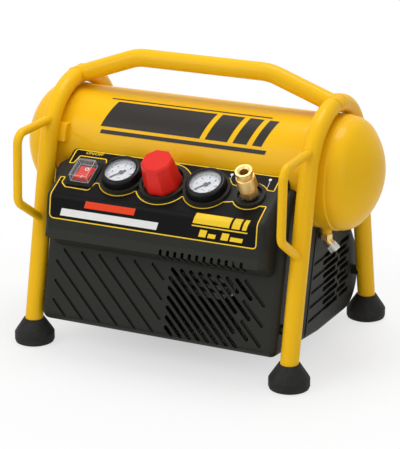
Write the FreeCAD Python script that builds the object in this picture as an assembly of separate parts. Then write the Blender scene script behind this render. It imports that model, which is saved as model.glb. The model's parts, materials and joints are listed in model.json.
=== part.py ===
import FreeCAD, Part
import math
import os

V = FreeCAD.Vector
X, Y, Z = V(1, 0, 0), V(0, 1, 0), V(0, 0, 1)

# Small oil-free air compressor. Lengths in millimetres, angles in degrees.
# X runs along the air tank, -Y is the control side, Z is up. The model is drawn
# with the tank axis over y = 0 and moved to the middle of its footprint at the end.

# carrying frame
tube_d = 22.0
tube_wall = 1.5
frame_gap = 4.0            # between each hoop's tube and the housing
leg_splay = 12.1           # lean of the legs from upright
leg_end_z = 8.0            # tube end, inside the rubber foot
arch_gap = 1.2             # between the arch tube and the tank heads
handle_rise = 43.1         # axis of the straight grip above the tank
handle_corner_x = 87.5
handle_bend_r = 60.0
rod_d = 10.5               # guard loop bar
loop_top_z, loop_top_y = 271.0, -152.0
loop_low_z, loop_low_y = 188.0, -156.0
loop_fall = 33.5           # slope of the lower arm
loop_bend_r = 14.0
saddle_thick, saddle_width = 8.0, 14.0
saddle_low, saddle_high = 16.0, 36.0
stud_z = 66.0
stud_inset = 4.0           # stud axis behind the leg's middle line
stud_d = 6.0
stud_len = 11.0
stud_boss_d = 12.0
nut_across, nut_h = 10.0, 4.5

# rubber feet
foot_d = 49.0
foot_h = 31.0
foot_band = 13.0           # height of the widest band
foot_neck = 1.8            # rubber round the tube at the top
foot_edge = 4.0
foot_hollow_d, foot_hollow_h = 27.0, 2.0

# air tank
tank_d = 136.0
tank_z = 228.4
tank_wall = 2.0
joggle = 0.8               # shell end rolled in under the head
joggle_len = 11.5
shell_over = 8.0           # shell runs on past the hoops' middle plane
head_cover = 9.0           # head flange over the end of the shell
head_lap = 1.2             # head flange outside the shell
head_crease = 6.5          # flange's step beyond the shell's end
head_step = 1.0
dome_start = 8.6           # dome's edge beyond the shell's end
dome_depth = 43.3
knuckle_r = 27.5           # tight curve round the dome's edge
boss_d = 18.0
boss_len = 10.4
port_d = 12.0
pressure_in, check_in, drain_in = 42.0, 81.0, 15.0     # ports' places from the ends
drain_boss_d, drain_boss_low_d, drain_port_d = 15.0, 12.5, 7.0
safety_x, safety_rise = 110.0, 12.0
safety_reach = 7.0         # boss height behind the tank

# drain valve
drain_across, drain_hex_h = 13.5, 7.0
drain_barrel_d, drain_barrel_len = 11.0, 8.0
drain_spindle_d = 6.0
drain_knob_d, drain_knob_h, drain_cap_t = 13.0, 10.0, 2.0

# safety valve
safety_across, safety_hex_h = 17.0, 8.0
safety_body_d, safety_body_h = 14.0, 17.0
safety_pin_d, safety_pin_in = 3.0, 5.0
safety_ring_r, safety_wire_d = 8.0, 2.4

# moulded housing
housing_half = 155.0
wall = 3.0
side_round = 9.0
corner_round = 11.0
rear_round = 42.0
knee_round = 20.0
front_low_y, front_low_z = -138.0, 36.0
front_lean = 0.24          # front face moves back this much per mm of height
front_top_z = 215.0
shoulder_y, shoulder_z = -84.0, 222.0
keel_y, keel_z = 5.0, 19.0
rear_low_y, rear_low_z = 141.5, 14.5
rear_lean = 0.106
knee_z = 92.0              # rear wall bends forwards here
roof_lean = 0.69           # forwards per mm of height, up to the tank
tank_gap = 1.0
seam_y, seam_z = -43.0, 34.0
seam_lean = 0.25
seam_gap = 0.3
bead_w, bead_h = 3.5, 1.0
screw_x, screw_front_y, screw_rear_y = 110.0, -90.0, 70.0
screw_d, screw_head_d, screw_head_h = 4.0, 8.0, 2.6
screw_boss_d, screw_seat_z = 13.0, 34.0
hole_gap = 0.3             # round screws and studs

# control console
console_half = 143.5
bend_y, bend_z = -137.0, 198.0     # edge between the control face and the title face
panel_slope = 29.0
panel_len = 95.0           # runs on under the tank's side
title_lean = 0.13
lip_top_z, lip_low_z = 157.5, 146.5
lip_flare = 0.34
underside_y, underside_z = -100.0, 118.3
console_back_y = -45.0
console_round = 8.0
console_corner = 9.0
row_s = 41.0               # controls' line, measured up the control face
left_gauge_x, right_gauge_x = -57.0, 53.6
knob_x = -3.0
coupler_x = 108.0
switch_x, switch_s = -107.0, 37.5
collar_h, collar_w, collar_gap = 5.0, 3.5, 1.0

# grille and grooves of the front face
stripe_pitch = 23.8        # along X; the grille slots take half of it
first_stripe = -112.0
stripe_count = 15
face_left, face_right = -139.5, 137.5
grille_left, grille_right = 12.5, 120.5
short_right, tail_left = 103.0, 109.5     # every other slot stops here and goes on as a groove
stripe_low, stripe_high = 8.0, 90.0
grille_low, grille_high = 7.0, 88.0
slot_w = 4.8
groove_w, groove_deep = 3.4, 2.0
groove_tail_w = 4.4        # wider beyond the slots
notch_count, notch_pitch, notch_x, notch_top_z = 12, 9.38, 13.5, 152.7
notch_w, notch_deep, notch_low_z = 4.0, 21.0, 131.0

# side and rear vents
vent_h, vent_pitch, vent_rows, vent_z = 6.2, 8.5, 9, 46.5
vent_y, vent_len, back_vent_len, vent_gap = 20.5, 41.5, 32.0, 5.0
vent_shift = 8.0           # every other row, forwards
side_groove_w, side_groove_gap = 4.5, 5.3
rear_vent_x, rear_vent_len, rear_vent_rows, rear_vent_rise = 40.0, 56.0, 5, 25.0
cord_in, cord_z = 45.0, 75.0
cord_hole_d, grommet_d, grommet_lip, cord_d = 18.0, 24.0, 2.0, 7.0

# gauges
gauge_d, gauge_deep = 40.0, 22.0
bezel_d, bezel_h = 48.0, 15.0
bezel_wall = 3.0
rim_round = 2.5
lens_play, lens_t, lens_h = 0.1, 1.5, 12.5
lip_w = 5.1                # bezel's front lip, from its rim to the opening
dial_h, dial_t = 8.0, 1.0
arbor_d, needle_len, needle_tail, needle_t = 2.0, 15.0, 6.0, 0.8
needle_hub_d = 6.0
needle_tip_w, needle_root_w, tail_w = 0.8, 1.6, 3.0
zero_turn = 222.0          # needle at zero, from across towards up the face
gauge_stem_d = 10.0

# regulator
regulator_d, regulator_neck_d = 34.0, 24.0
regulator_top, neck_top = -3.0, 6.0
nut_d, nut_t = 32.0, 5.0
spindle_d, spindle_top = 8.0, 26.0
knob_low_r, knob_top_r = 23.5, 19.5
knob_low, knob_top = 2.5, 39.3
knob_cup_r, knob_cup_h, knob_hub_d = 19.0, 20.0, 14.0
knob_edge, knob_round = 2.0, 1.2

# quick coupler
coupler_stem_d = 14.0
coupler_across, coupler_hex_low, coupler_hex_top = 20.0, 4.5, 13.0
coupler_neck_d, coupler_ring_d = 17.0, 20.0
coupler_ring_low, coupler_top = 36.0, 42.0
coupler_bore_d, coupler_bore_len = 10.4, 26.0
mouth_d, mouth_deep = 15.2, 2.4
clip_d, clip_h = 18.6, 1.0
sleeve_low, sleeve_top = 17.0, 33.0
sleeve_low_d, sleeve_top_d = 24.4, 22.4

# power switch
switch_w, switch_l, switch_deep = 27.0, 36.0, 22.0
switch_bezel_w, switch_bezel_l, switch_bezel_h = 35.0, 41.0, 2.5
pocket_w, pocket_l, pocket_deep = 20.5, 25.0, 14.0
rocker_gap = 0.3
rocker_pivot_h = -3.0
rocker_tilt = 9.0
rocker_pin_d, rocker_pin_in = 3.0, 1.3
splash_low_w, splash_low_l = 24.0, 29.0
splash_draft, splash_h, splash_wall = 0.5, 10.0, 0.8

# manifold behind the control face
manifold_left, manifold_right = -70.0, 122.0
manifold_size = 22.0
manifold_top = -34.0
nipple_d = 14.0
nipple_x = (-40.0, 90.0)

# base plate and pump set
plate_z, plate_t = 40.0, 2.5
plate_edge = 10.0
ear_w, ear_top_z = 16.0, 76.0
plate_gap = 0.5            # inside the housing walls
mount_h, mount_d = 12.0, 18.0
mount_in, mount_right = 45.0, 30.0
mount_half_y = 28.0
foot_plate_t = 4.5
shaft_y, shaft_z = 30.0, 100.0
motor_r = 44.0
motor_wall = 3.5
rotor_r = 26.5
air_gap = 0.5
shaft_d = 12.0
stator_in, stator_right = 30.0, -25.0        # bell's depth before the stator
winding_in_r, winding_out_r, winding_len = 29.0, 38.0, 13.5
bearing_d, bearing_w = 28.0, 9.0
hub_d, hub_w = 36.0, 12.0
shaft_in, fan_in, bracket_in = 10.0, 12.0, 30.0      # from the housing's side
fan_w, fan_hub_d, fan_r, fan_blades = 12.0, 24.0, 38.0, 7
drum_right = 60.0
crank_wall_x = -8.0
disc_left, disc_w, disc_d = 8.0, 8.0, 50.0
throw = 9.0
pin_d = 9.0
cover_t = 3.0
cylinder_x = 32.0
bore_d = 42.0
cylinder_wall = 4.0
cylinder_top_y, cylinder_foot_y = -43.0, -12.0
fin_d, fin_t, fin_count, fin_pitch = 64.0, 2.0, 4, 6.0
head_slot_w, head_slot_pitch = 5.0, 10.0
boss_out_d = 56.0
rod_w, eye_d = 12.0, 26.0
pin_gap = 0.4              # crank pin stops this far short of the rod
crown_h, crown_gap = 9.0, 0.7
head_w, head_h = 60.0, 20.0
valve_plate_t, valve_plate_w = 3.0, 64.0
filter_d, filter_len = 22.0, 26.0
filter_z, filter_y = 112.0, -56.0
capacitor_d, capacitor_in, capacitor_len = 34.0, 37.0, 68.0
capacitor_y = -62.0
tube_bend_r, delivery_d, delivery_wall = 8.0, 8.0, 1.0
delivery_x, delivery_drop, delivery_back = 44.0, 7.0, 14.0
check_across, stub_len = 18.0, 12.0
unloader_d = 4.0
pressure_w, pressure_d, pressure_low_z = 50.0, 50.0, 105.0

fit = 0.05                 # radial clearance of pushed and running fits

tank_r = tank_d / 2
tube_r = tube_d / 2
frame_x = housing_half + frame_gap + tube_r        # middle plane of each hoop frame
handle_z = tank_z + tank_r + handle_rise
shell_half = frame_x + shell_over
joggle_x = shell_half - joggle_len
head_start_x = shell_half - head_cover
head_crease_x = shell_half + head_crease
dome_x = shell_half + dome_start
lens_d = bezel_d - 2 * (bezel_wall + lens_play)
lip_in_d = bezel_d - 2 * lip_w
shaft_left, fan_left, bracket_left = shaft_in - housing_half, fan_in - housing_half, bracket_in - housing_half
stator_left = bracket_left + stator_in
capacitor_left = capacitor_in - housing_half
capacitor_right = capacitor_left + capacitor_len
mount_x = (mount_in - housing_half, mount_right)
cord_x = cord_in - housing_half
pressure_x, check_x, drain_x = housing_half - pressure_in, housing_half - check_in, shell_half - drain_in
arch_r = tank_r + head_lap + arch_gap + tube_r
splay = math.radians(leg_splay)
arch_end_y = arch_r * math.cos(splay)
arch_end_z = tank_z + arch_r * math.sin(splay)
port_z = tank_z - tank_r - boss_len
delivery_z = port_z - delivery_drop
face_tilt = math.degrees(math.atan(front_lean))
rear_tilt = math.degrees(math.atan(rear_lean))
roof_tilt = math.degrees(math.atan(roof_lean))
plate_top = plate_z + plate_t
feet_z = plate_top + mount_h


def leg_y(z):
    """Distance of a leg's axis from the tank's middle plane at height z."""
    return arch_end_y + (arch_end_z - z) * math.tan(splay)


def front_y(z):
    """Outer front face of the housing at height z."""
    return front_low_y + front_lean * (z - front_low_z)


def rear_y(z):
    """Outer rear face of the housing at height z."""
    return rear_low_y - rear_lean * (z - rear_low_z)


def roof_at(z):
    """Point (y, z) of the housing's sloping roof behind the tank."""
    return rear_y(knee_z) - roof_lean * (z - knee_z), z


def seam_at(z):
    """Joint between the two housing covers at height z."""
    return seam_y + seam_lean * (z - seam_z)


stud_y = leg_y(stud_z) - stud_inset
foot_y = leg_y(foot_h)


# ---- shared operations ------------------------------------------------------------

def cyl(radius, start, end):
    """Round bar between two points."""
    return Part.makeCylinder(radius, start.distanceToPoint(end), start, end - start)


def box(x0, x1, y0, y1, z0, z1):
    return Part.makeBox(x1 - x0, y1 - y0, z1 - z0, V(x0, y0, z0))


def disc(radius, low, high):
    return Part.makeCylinder(radius, high - low, V(0, 0, low))


def ring(outer, inner, low, high):
    return disc(outer, low, high).cut(disc(inner, low - 1, high + 1))


def hexagon(across, low, high):
    """Hexagonal bar about Z."""
    r = across / math.sqrt(3)
    corners = [V(r * math.cos(math.radians(a)), r * math.sin(math.radians(a)), low)
               for a in range(0, 361, 60)]
    return Part.Face(Part.makePolygon(corners)).extrude(V(0, 0, high - low))


def turned(points):
    """Solid of revolution about Z from an outline of (radius, height) points."""
    face = Part.Face(Part.makePolygon([V(r, 0, h) for r, h in points + points[:1]]))
    return face.revolve(V(0, 0, 0), Z, 360)


def fuse(first, *others):
    return first.fuse(list(others)).removeSplitter()


def mirrored(shape):
    return shape.mirror(V(0, 0, 0), X)


def moved(shape, place):
    copy = shape.copy()
    copy.Placement = place.multiply(copy.Placement)
    return copy


def path(points, radii, closed=False):
    """Wire of straight runs joined by tangent arcs; a radius of 0 leaves the corner sharp."""
    count = len(points)
    marks = []
    for i, here in enumerate(points):
        if radii[i] == 0:
            marks.append((here, None, here))
            continue
        back = (points[i - 1] - here).normalize()
        on = (points[(i + 1) % count] - here).normalize()
        half = back.getAngle(on) / 2
        middle = here + (back + on).normalize() * (radii[i] / math.sin(half) - radii[i])
        reach = radii[i] / math.tan(half)
        marks.append((here + back * reach, middle, here + on * reach))
    edges = []
    for i, (start, middle, end) in enumerate(marks):
        if middle is not None:
            edges.append(Part.Arc(start, middle, end).toShape())
        if i + 1 < count or closed:
            following = marks[(i + 1) % count][0]
            if following.distanceToPoint(end) > 1e-6:
                edges.append(Part.makeLine(end, following))
    return Part.Wire(edges)


def pipe(spine, radius, start, direction):
    circle = Part.Wire(Part.Circle(start, direction, radius).toShape())
    return spine.makePipeShell([circle], True, False)


def bar(points, bend_r, radius):
    """Round bar along the points, with open ends and one bend radius."""
    radii = [0] + [bend_r] * (len(points) - 2) + [0]
    return pipe(path(points, radii), radius, points[0], points[1] - points[0])


def inset(points, distance):
    """Closed outline of (y, z) points moved inwards by the distance."""
    count = len(points)
    area = sum(points[i - 1][0] * points[i][1] - points[i][0] * points[i - 1][1]
               for i in range(count))
    side = math.copysign(distance, area)
    lines = []
    for i in range(count):
        (y0, z0), (y1, z1) = points[i], points[(i + 1) % count]
        run = math.hypot(y1 - y0, z1 - z0)
        lines.append((y0 - (z1 - z0) / run * side, z0 + (y1 - y0) / run * side, y1 - y0, z1 - z0))
    result = []
    for i in range(count):
        ay, az, au, av = lines[i - 1]
        by, bz, bu, bv = lines[i]
        t = ((by - ay) * bv - (bz - az) * bu) / (au * bv - av * bu)
        result.append((ay + au * t, az + av * t))
    return result


def across_x(points, radii, half):
    """Prism between x = -half and x = half from a closed (y, z) outline."""
    wire = path([V(-half, y, z) for y, z in points], radii, closed=True)
    return Part.Face(wire).extrude(V(2 * half, 0, 0))


def slot(length, width, low, high):
    """Round-ended slot, centred, long along local X."""
    half, r = (length - width) / 2, width / 2
    edges = [Part.makeLine(V(-half, -r, low), V(half, -r, low)),
             Part.Arc(V(half, -r, low), V(half + r, 0, low), V(half, r, low)).toShape(),
             Part.makeLine(V(half, r, low), V(-half, r, low)),
             Part.Arc(V(-half, r, low), V(-half - r, 0, low), V(-half, -r, low)).toShape()]
    return Part.Face(Part.Wire(edges)).extrude(V(0, 0, high - low))


def rounded_box(width, length, low, high, radius):
    """Box centred on Z with rounded upright edges."""
    w, k = width / 2, length / 2
    corners = [V(-w, -k, low), V(w, -k, low), V(w, k, low), V(-w, k, low)]
    return Part.Face(path(corners, [radius] * 4, closed=True)).extrude(V(0, 0, high - low))


def on_panel(shape, x, s):
    """Control drawn about its own Z, set on the control face at x and s up the face."""
    lift = FreeCAD.Placement(V(0, bend_y, bend_z), FreeCAD.Rotation(X, panel_slope))
    return moved(shape.translated(V(x, s, 0)), lift)


def on_front(shape):
    """From the lower front face's own axes (across, up the face, out of it)."""
    turn = FreeCAD.Rotation(X, 90 - face_tilt)
    return moved(shape, FreeCAD.Placement(V(0, front_low_y, front_low_z), turn))


def on_shaft(shape):
    """From the shaft's own axes (Z along the shaft, X down, Y back)."""
    return moved(shape, FreeCAD.Placement(V(0, shaft_y, shaft_z), FreeCAD.Rotation(Y, 90)))


def on_cylinder(shape):
    """From the cylinder's own axes (Z forwards along -Y from the shaft)."""
    turn = FreeCAD.Rotation(X, 90)
    return moved(shape, FreeCAD.Placement(V(cylinder_x, 0, shaft_z), turn))


def on_tank(shape):
    """From the tank's own axes (Z along the tank)."""
    return moved(shape, FreeCAD.Placement(V(0, 0, tank_z), FreeCAD.Rotation(Y, 90)))


# ---- carrying frame ---------------------------------------------------------------

def hoop(radius):
    """Solid bar along the right hoop: up one leg, round the tank, down the other leg."""
    low = leg_y(leg_end_z)
    edges = [Part.makeLine(V(frame_x, -low, leg_end_z), V(frame_x, -arch_end_y, arch_end_z)),
             Part.Arc(V(frame_x, -arch_end_y, arch_end_z), V(frame_x, 0, tank_z + arch_r),
                      V(frame_x, arch_end_y, arch_end_z)).toShape(),
             Part.makeLine(V(frame_x, arch_end_y, arch_end_z), V(frame_x, low, leg_end_z))]
    start = V(frame_x, -low, leg_end_z)
    return pipe(Part.Wire(edges), radius, start, V(0, low - arch_end_y, arch_end_z - leg_end_z))


def right_frame():
    """Bent hoop with the saddles that hold the tank and the studs that hold the base."""
    start = V(frame_x - tube_r - saddle_thick, 0, tank_z)
    band = Part.makeCylinder(tank_r + saddle_thick, saddle_width, start, X)
    band = band.cut(Part.makeCylinder(tank_r, saddle_width, start, X))
    low, high, reach = tank_z + saddle_low, tank_z + saddle_high, tank_r + saddle_thick
    saddles = [band.common(box(0, frame_x, -reach, 0, low, high)),
               band.common(box(0, frame_x, 0, reach, low, high))]
    studs = []
    for y in (-stud_y, stud_y):
        studs.append(cyl(stud_boss_d / 2, V(housing_half, y, stud_z), V(frame_x, y, stud_z)))
        studs.append(cyl(stud_d / 2, V(housing_half - stud_len, y, stud_z), V(frame_x, y, stud_z)))
    return fuse(hoop(tube_r), *saddles, *studs).cut(hoop(tube_r - tube_wall))


def carry_handle():
    apex = tank_z + arch_r
    points = [V(-frame_x, 0, apex), V(-handle_corner_x, 0, handle_z),
              V(handle_corner_x, 0, handle_z), V(frame_x, 0, apex)]
    tube = bar(points, handle_bend_r, tube_r).cut(bar(points, handle_bend_r, tube_r - tube_wall))
    return tube.cut([hoop(tube_r), mirrored(hoop(tube_r))])


def right_guard_loop():
    """Bent rod from the arch forwards, down, and back to the leg."""
    top_y = -math.sqrt(arch_r ** 2 - (loop_top_z - tank_z) ** 2)
    fall, spread = math.tan(math.radians(loop_fall)), math.tan(splay)
    end_y = (leg_y(0) - spread * (loop_low_z + loop_low_y * fall)) / (1 + spread * fall) * -1
    end_z = loop_low_z - (end_y - loop_low_y) * fall
    points = [V(frame_x, top_y, loop_top_z), V(frame_x, loop_top_y, loop_top_z),
              V(frame_x, loop_low_y, loop_low_z), V(frame_x, end_y, end_z)]
    return bar(points, loop_bend_r, rod_d / 2).cut(hoop(tube_r))


def foot(x, side):
    """Rubber foot pushed over a leg."""
    r, neck = foot_d / 2, tube_r + foot_neck
    body = turned([(0, 0), (r - foot_edge, 0), (r - foot_edge / 4, foot_edge / 3), (r, foot_edge),
                   (r, foot_band), (r - 2.4, foot_band + foot_edge), (neck, foot_h), (0, foot_h)])
    body = body.cut(disc(foot_hollow_d / 2, 0, foot_hollow_h))
    body.translate(V(x, side * foot_y, 0))
    low, high = leg_end_z, 2 * foot_h
    return body.cut(cyl(tube_r + fit, V(x, side * leg_y(low), low), V(x, side * leg_y(high), high)))


# ---- air tank ---------------------------------------------------------------------

def tank_shell():
    outer, necked, t = tank_r, tank_r - joggle, tank_wall
    side = [(outer, joggle_x - 2 * joggle), (necked, joggle_x), (necked, shell_half),
            (necked - t, shell_half), (necked - t, joggle_x), (outer - t, joggle_x - 2 * joggle)]
    return on_tank(turned(side + [(r, -h) for r, h in reversed(side)]))


def right_tank_head():
    """Pressed end: flange over the shell, shallow step, knuckle and crown."""
    flange, lap = tank_r + head_lap, tank_r - joggle
    dome_r = flange - head_step
    middle = dome_r - knuckle_r
    crown_r = (dome_depth ** 2 + middle ** 2 - knuckle_r ** 2) / (2 * (dome_depth - knuckle_r))
    centre = dome_x + dome_depth - crown_r
    turn = math.atan2(dome_x - centre, middle)

    def along(r, h, radius, angle):
        return V(r + radius * math.cos(angle), 0, h + radius * math.sin(angle))

    def domed(steps, depth):
        """Turned solid: stepped rim from (radius, height) points, closed by the dome."""
        small, large = knuckle_r - depth, crown_r - depth
        rim, pole = V(dome_r - depth, 0, dome_x), V(0, 0, dome_x + dome_depth - depth)
        shoulder = along(middle, dome_x, small, turn)
        arcs = [Part.Arc(rim, along(middle, dome_x, small, turn / 2), shoulder).toShape(),
                Part.Arc(shoulder, along(0, centre, large, (turn + math.pi / 2) / 2), pole).toShape()]
        sides = [pole, V(0, 0, head_start_x)] + [V(r, 0, h) for r, h in steps] + [rim]
        return Part.Face(Part.Wire(Part.makePolygon(sides).Edges + arcs)).revolve(V(0, 0, 0), Z, 360)

    outer = domed([(flange, head_start_x), (flange, head_crease_x)], 0)
    inner = domed([(lap, head_start_x), (lap, shell_half), (dome_r - tank_wall, shell_half)], tank_wall)
    return on_tank(outer.cut(inner))


def safety_valve_place(shape):
    """From the safety valve's own axes (Z out of the tank) to its port behind the tank."""
    turn = FreeCAD.Rotation(X, -90 + safety_rise)
    return moved(shape, FreeCAD.Placement(V(safety_x, 0, tank_z), turn))


def tank_bosses():
    """Welded ports: check valve, pressure switch and drain below, safety valve behind."""
    shell = Part.makeCylinder(tank_r, 2 * head_start_x, V(-head_start_x, 0, tank_z), X)
    deep = tank_z - tank_r + tank_wall
    bosses = []
    for x in (check_x, pressure_x):
        boss = ring(boss_d / 2, port_d / 2, port_z, deep).translated(V(x, 0, 0))
        bosses.append(boss.cut(shell))
    drain = turned([(drain_port_d / 2, port_z), (drain_boss_low_d / 2, port_z),
                    (drain_boss_d / 2, deep), (drain_port_d / 2, deep)]).translated(V(drain_x, 0, 0))
    flange = Part.makeCylinder(tank_r + head_lap, 2 * head_cover, V(head_start_x, 0, tank_z), X)
    bosses.append(drain.cut([shell, flange]))
    safety = ring(boss_d / 2, port_d / 2, tank_r - tank_wall, tank_r + safety_reach)
    bosses.append(safety_valve_place(safety).cut(shell))
    return Part.makeCompound(bosses)


drain_down = V(1, 0, -1).normalize()


def drain_valve_body():
    middle = V(drain_x, 0, port_z - drain_hex_h)
    nut = hexagon(drain_across, port_z - drain_hex_h, port_z).translated(V(drain_x, 0, 0))
    stem = cyl(drain_port_d / 2 - fit, V(drain_x, 0, port_z), V(drain_x, 0, port_z + boss_len - 2))
    barrel = cyl(drain_barrel_d / 2, middle, middle + drain_down * drain_barrel_len)
    spindle = cyl(drain_spindle_d / 2, middle,
                  middle + drain_down * (drain_barrel_len + drain_knob_h - drain_cap_t))
    return fuse(nut, stem, barrel, spindle)


def drain_valve_knob():
    start = V(drain_x, 0, port_z - drain_hex_h) + drain_down * (drain_barrel_len + hole_gap)
    end = start + drain_down * drain_knob_h
    return cyl(drain_knob_d / 2, start, end).cut(cyl(drain_spindle_d / 2 + fit, start - drain_down,
                                                     end - drain_down * drain_cap_t))


def safety_valve_body():
    base = tank_r + safety_reach
    top = base + safety_hex_h + safety_body_h
    stem = disc(port_d / 2 - fit, base - 5, base)
    shape = fuse(stem, hexagon(safety_across, base, base + safety_hex_h),
                 disc(safety_body_d / 2, base + safety_hex_h, top))
    bore = disc(safety_pin_d / 2 + fit, top - safety_pin_in - 1, top)
    return safety_valve_place(shape.cut(bore))


def safety_valve_ring():
    """Pull ring and its pin."""
    top = tank_r + safety_reach + safety_hex_h + safety_body_h
    centre = top + 3 + safety_ring_r
    pin = disc(safety_pin_d / 2, top - safety_pin_in, centre - safety_ring_r)
    loop = Part.makeTorus(safety_ring_r, safety_wire_d / 2, V(0, 0, centre), Y)
    return safety_valve_place(fuse(pin, loop))


# ---- moulded housing --------------------------------------------------------------

def housing_points():
    """Outer (y, z) outline; the two inner points lie inside the tank."""
    return [(front_low_y, front_low_z), (front_y(front_top_z), front_top_z),
            (shoulder_y, shoulder_z), (-tank_r / 2, shoulder_z), roof_at(tank_z),
            roof_at(knee_z), (rear_low_y, rear_low_z), (keel_y, keel_z)]


def housing_form(depth):
    """Outer form of the housing, moved inwards by the depth (outwards if negative)."""
    small = corner_round - depth
    radii = [small] * 5 + [knee_round - depth, rear_round - depth, small]
    half = housing_half - depth
    solid = across_x(inset(housing_points(), depth), radii, half)
    ends = [e for e in solid.Edges if e.BoundBox.XLength < 1e-6]
    return solid.makeFillet(side_round - depth, ends)


def console_form(depth):
    """Outer form of the control console, moved inwards by the depth."""
    slope = math.radians(panel_slope)
    lip_y = bend_y - title_lean * (bend_z - lip_top_z)
    points = [(lip_y - lip_flare * (lip_top_z - lip_low_z), lip_low_z), (lip_y, lip_top_z),
              (bend_y, bend_z),
              (bend_y + panel_len * math.cos(slope), bend_z + panel_len * math.sin(slope)),
              (console_back_y, underside_z - wall), (underside_y, underside_z)]
    corner = console_corner - depth
    solid = across_x(inset(points, depth), [0, corner, corner, 0, 0, 0], console_half - depth)
    ends = [e for e in solid.Edges if e.BoundBox.XLength < 1e-6
            and e.CenterOfMass.y < underside_y and e.CenterOfMass.z > underside_z]
    ends += [e for e in solid.Edges if e.BoundBox.XLength < 1e-6
             and e.BoundBox.ZMax > tank_z and e.BoundBox.YMin < underside_y]
    unique = []
    for edge in ends:
        if not any(edge.isSame(other) for other in unique):
            unique.append(edge)
    return solid.makeFillet(console_round - depth, unique)


def seam_side(offset, forward):
    """Space in front of or behind the slanted joint between the covers."""
    low, high = -10.0, tank_z + tank_r
    far = 3 * front_low_y if forward else 3 * rear_low_y
    points = [(seam_at(low) + offset, low), (seam_at(high) + offset, high), (far, high), (far, low)]
    return across_x(points, [0] * 4, 2 * housing_half)


def tank_space():
    return Part.makeCylinder(tank_r + tank_gap, 4 * housing_half, V(-2 * housing_half, 0, tank_z), X)


def stud_holes():
    """Clearance holes for the frame studs, right across the housing."""
    r = stud_d / 2 + hole_gap
    return [cyl(r, V(-2 * housing_half, y, stud_z), V(2 * housing_half, y, stud_z))
            for y in (-stud_y, stud_y)]


def screw_post(x, y):
    """Post from the housing floor up to the base plate."""
    post = cyl(screw_boss_d / 2, V(x, y, 0), V(x, y, plate_z))
    return post.common(housing_form(wall / 2))


def screw_space(x, y):
    """Counterbored hole for a screw from below."""
    return fuse(cyl(screw_d / 2 + hole_gap, V(x, y, 0), V(x, y, plate_z + 1)),
                cyl(screw_head_d / 2 + hole_gap, V(x, y, 0), V(x, y, screw_seat_z)))


def diagonals(first, pitch, count, left, right, low, high, shortest):
    """Runs of parallel 45-degree stripes inside a window: (middle x, middle t, length)."""
    runs = []
    for i in range(count):
        c = first + i * pitch
        start, end = max(left, c - high), min(right, c - low)
        if end - start > shortest:
            runs.append(((start + end) / 2, c - (start + end) / 2, (end - start) * math.sqrt(2)))
    return runs


def stripe_cutters(runs, width, low, high):
    cutters = []
    for x, t, length in runs:
        cutter = slot(length, width, low, high).rotate(V(0, 0, 0), Z, -45)
        cutters.append(on_front(cutter.translated(V(x, t, 0))))
    return cutters


def front_pattern():
    """Diagonal grooves either side of the diagonal through slots."""
    edge = stripe_pitch / 4
    solid_left = diagonals(first_stripe, stripe_pitch, stripe_count, face_left, grille_left - edge,
                           stripe_low, stripe_high, edge)
    tails = diagonals(first_stripe, stripe_pitch, stripe_count, tail_left, face_right,
                      stripe_low, stripe_high, 2 * edge)
    short_runs = diagonals(first_stripe, stripe_pitch, stripe_count, grille_left, short_right,
                           grille_low, grille_high, edge)
    long_runs = diagonals(first_stripe + stripe_pitch / 2, stripe_pitch, stripe_count, grille_left,
                          grille_right, grille_low, grille_high, edge)
    grooves = stripe_cutters(solid_left, groove_w, -groove_deep, wall)
    grooves += stripe_cutters(tails, groove_tail_w, -groove_deep, wall)
    return grooves + stripe_cutters(short_runs + long_runs, slot_w, -4 * wall, wall)


def lip_notches():
    """Row of air slots over the console's lower lip and through its underside."""
    lip_y = bend_y - title_lean * (bend_z - lip_top_z) - lip_flare * (lip_top_z - lip_low_z)
    length = notch_top_z - notch_low_z
    cutter = slot(length, notch_w, 0, notch_deep).rotate(V(0, 0, 0), Y, 90)
    cutter.rotate(V(0, 0, 0), Z, 90)
    top = V(notch_x, lip_y - 1, notch_top_z - length / 2)
    return [cutter.translated(top + V(i * notch_pitch, 0, 0)) for i in range(notch_count)]


def panel_collars():
    """Raised rings round the gauges, the knob and the coupler."""
    rings = []
    for x, inner in ((left_gauge_x, bezel_d / 2), (right_gauge_x, bezel_d / 2),
                     (knob_x, knob_low_r + collar_gap)):
        inner += collar_gap
        rings.append(on_panel(ring(inner + collar_w, inner, -wall / 2, collar_h), x, row_s))
    across = coupler_across / 2 + 5
    rings.append(on_panel(ring(across + collar_w, across, -wall / 2, collar_h - 1), coupler_x, row_s))
    return rings


def panel_holes():
    holes = [on_panel(disc(gauge_d / 2 + hole_gap, -2 * wall, wall), x, row_s)
             for x in (left_gauge_x, right_gauge_x)]
    holes.append(on_panel(disc(regulator_neck_d / 2 + hole_gap, -2 * wall, wall), knob_x, row_s))
    holes.append(on_panel(disc(coupler_stem_d / 2 + hole_gap, -2 * wall, wall), coupler_x, row_s))
    opening = box(-switch_w / 2 - hole_gap, switch_w / 2 + hole_gap, -switch_l / 2 - hole_gap,
                  switch_l / 2 + hole_gap, -2 * wall, wall)
    holes.append(on_panel(opening, switch_x, switch_s))
    return holes


def front_cover():
    """Console, lip, grooved and slotted front, front screw posts."""
    outer = housing_form(0).fuse(console_form(0))
    hollow = outer.cut([housing_form(wall), console_form(wall), tank_space()])
    half = hollow.common(seam_side(-seam_gap / 2, True))
    posts = [screw_post(x, screw_front_y) for x in (-screw_x, screw_x)]
    body = half.fuse(posts + panel_collars())
    cutters = stud_holes() + panel_holes() + lip_notches() + front_pattern()
    cutters += [screw_space(x, screw_front_y) for x in (-screw_x, screw_x)]
    return body.cut(cutters).removeSplitter()


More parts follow.
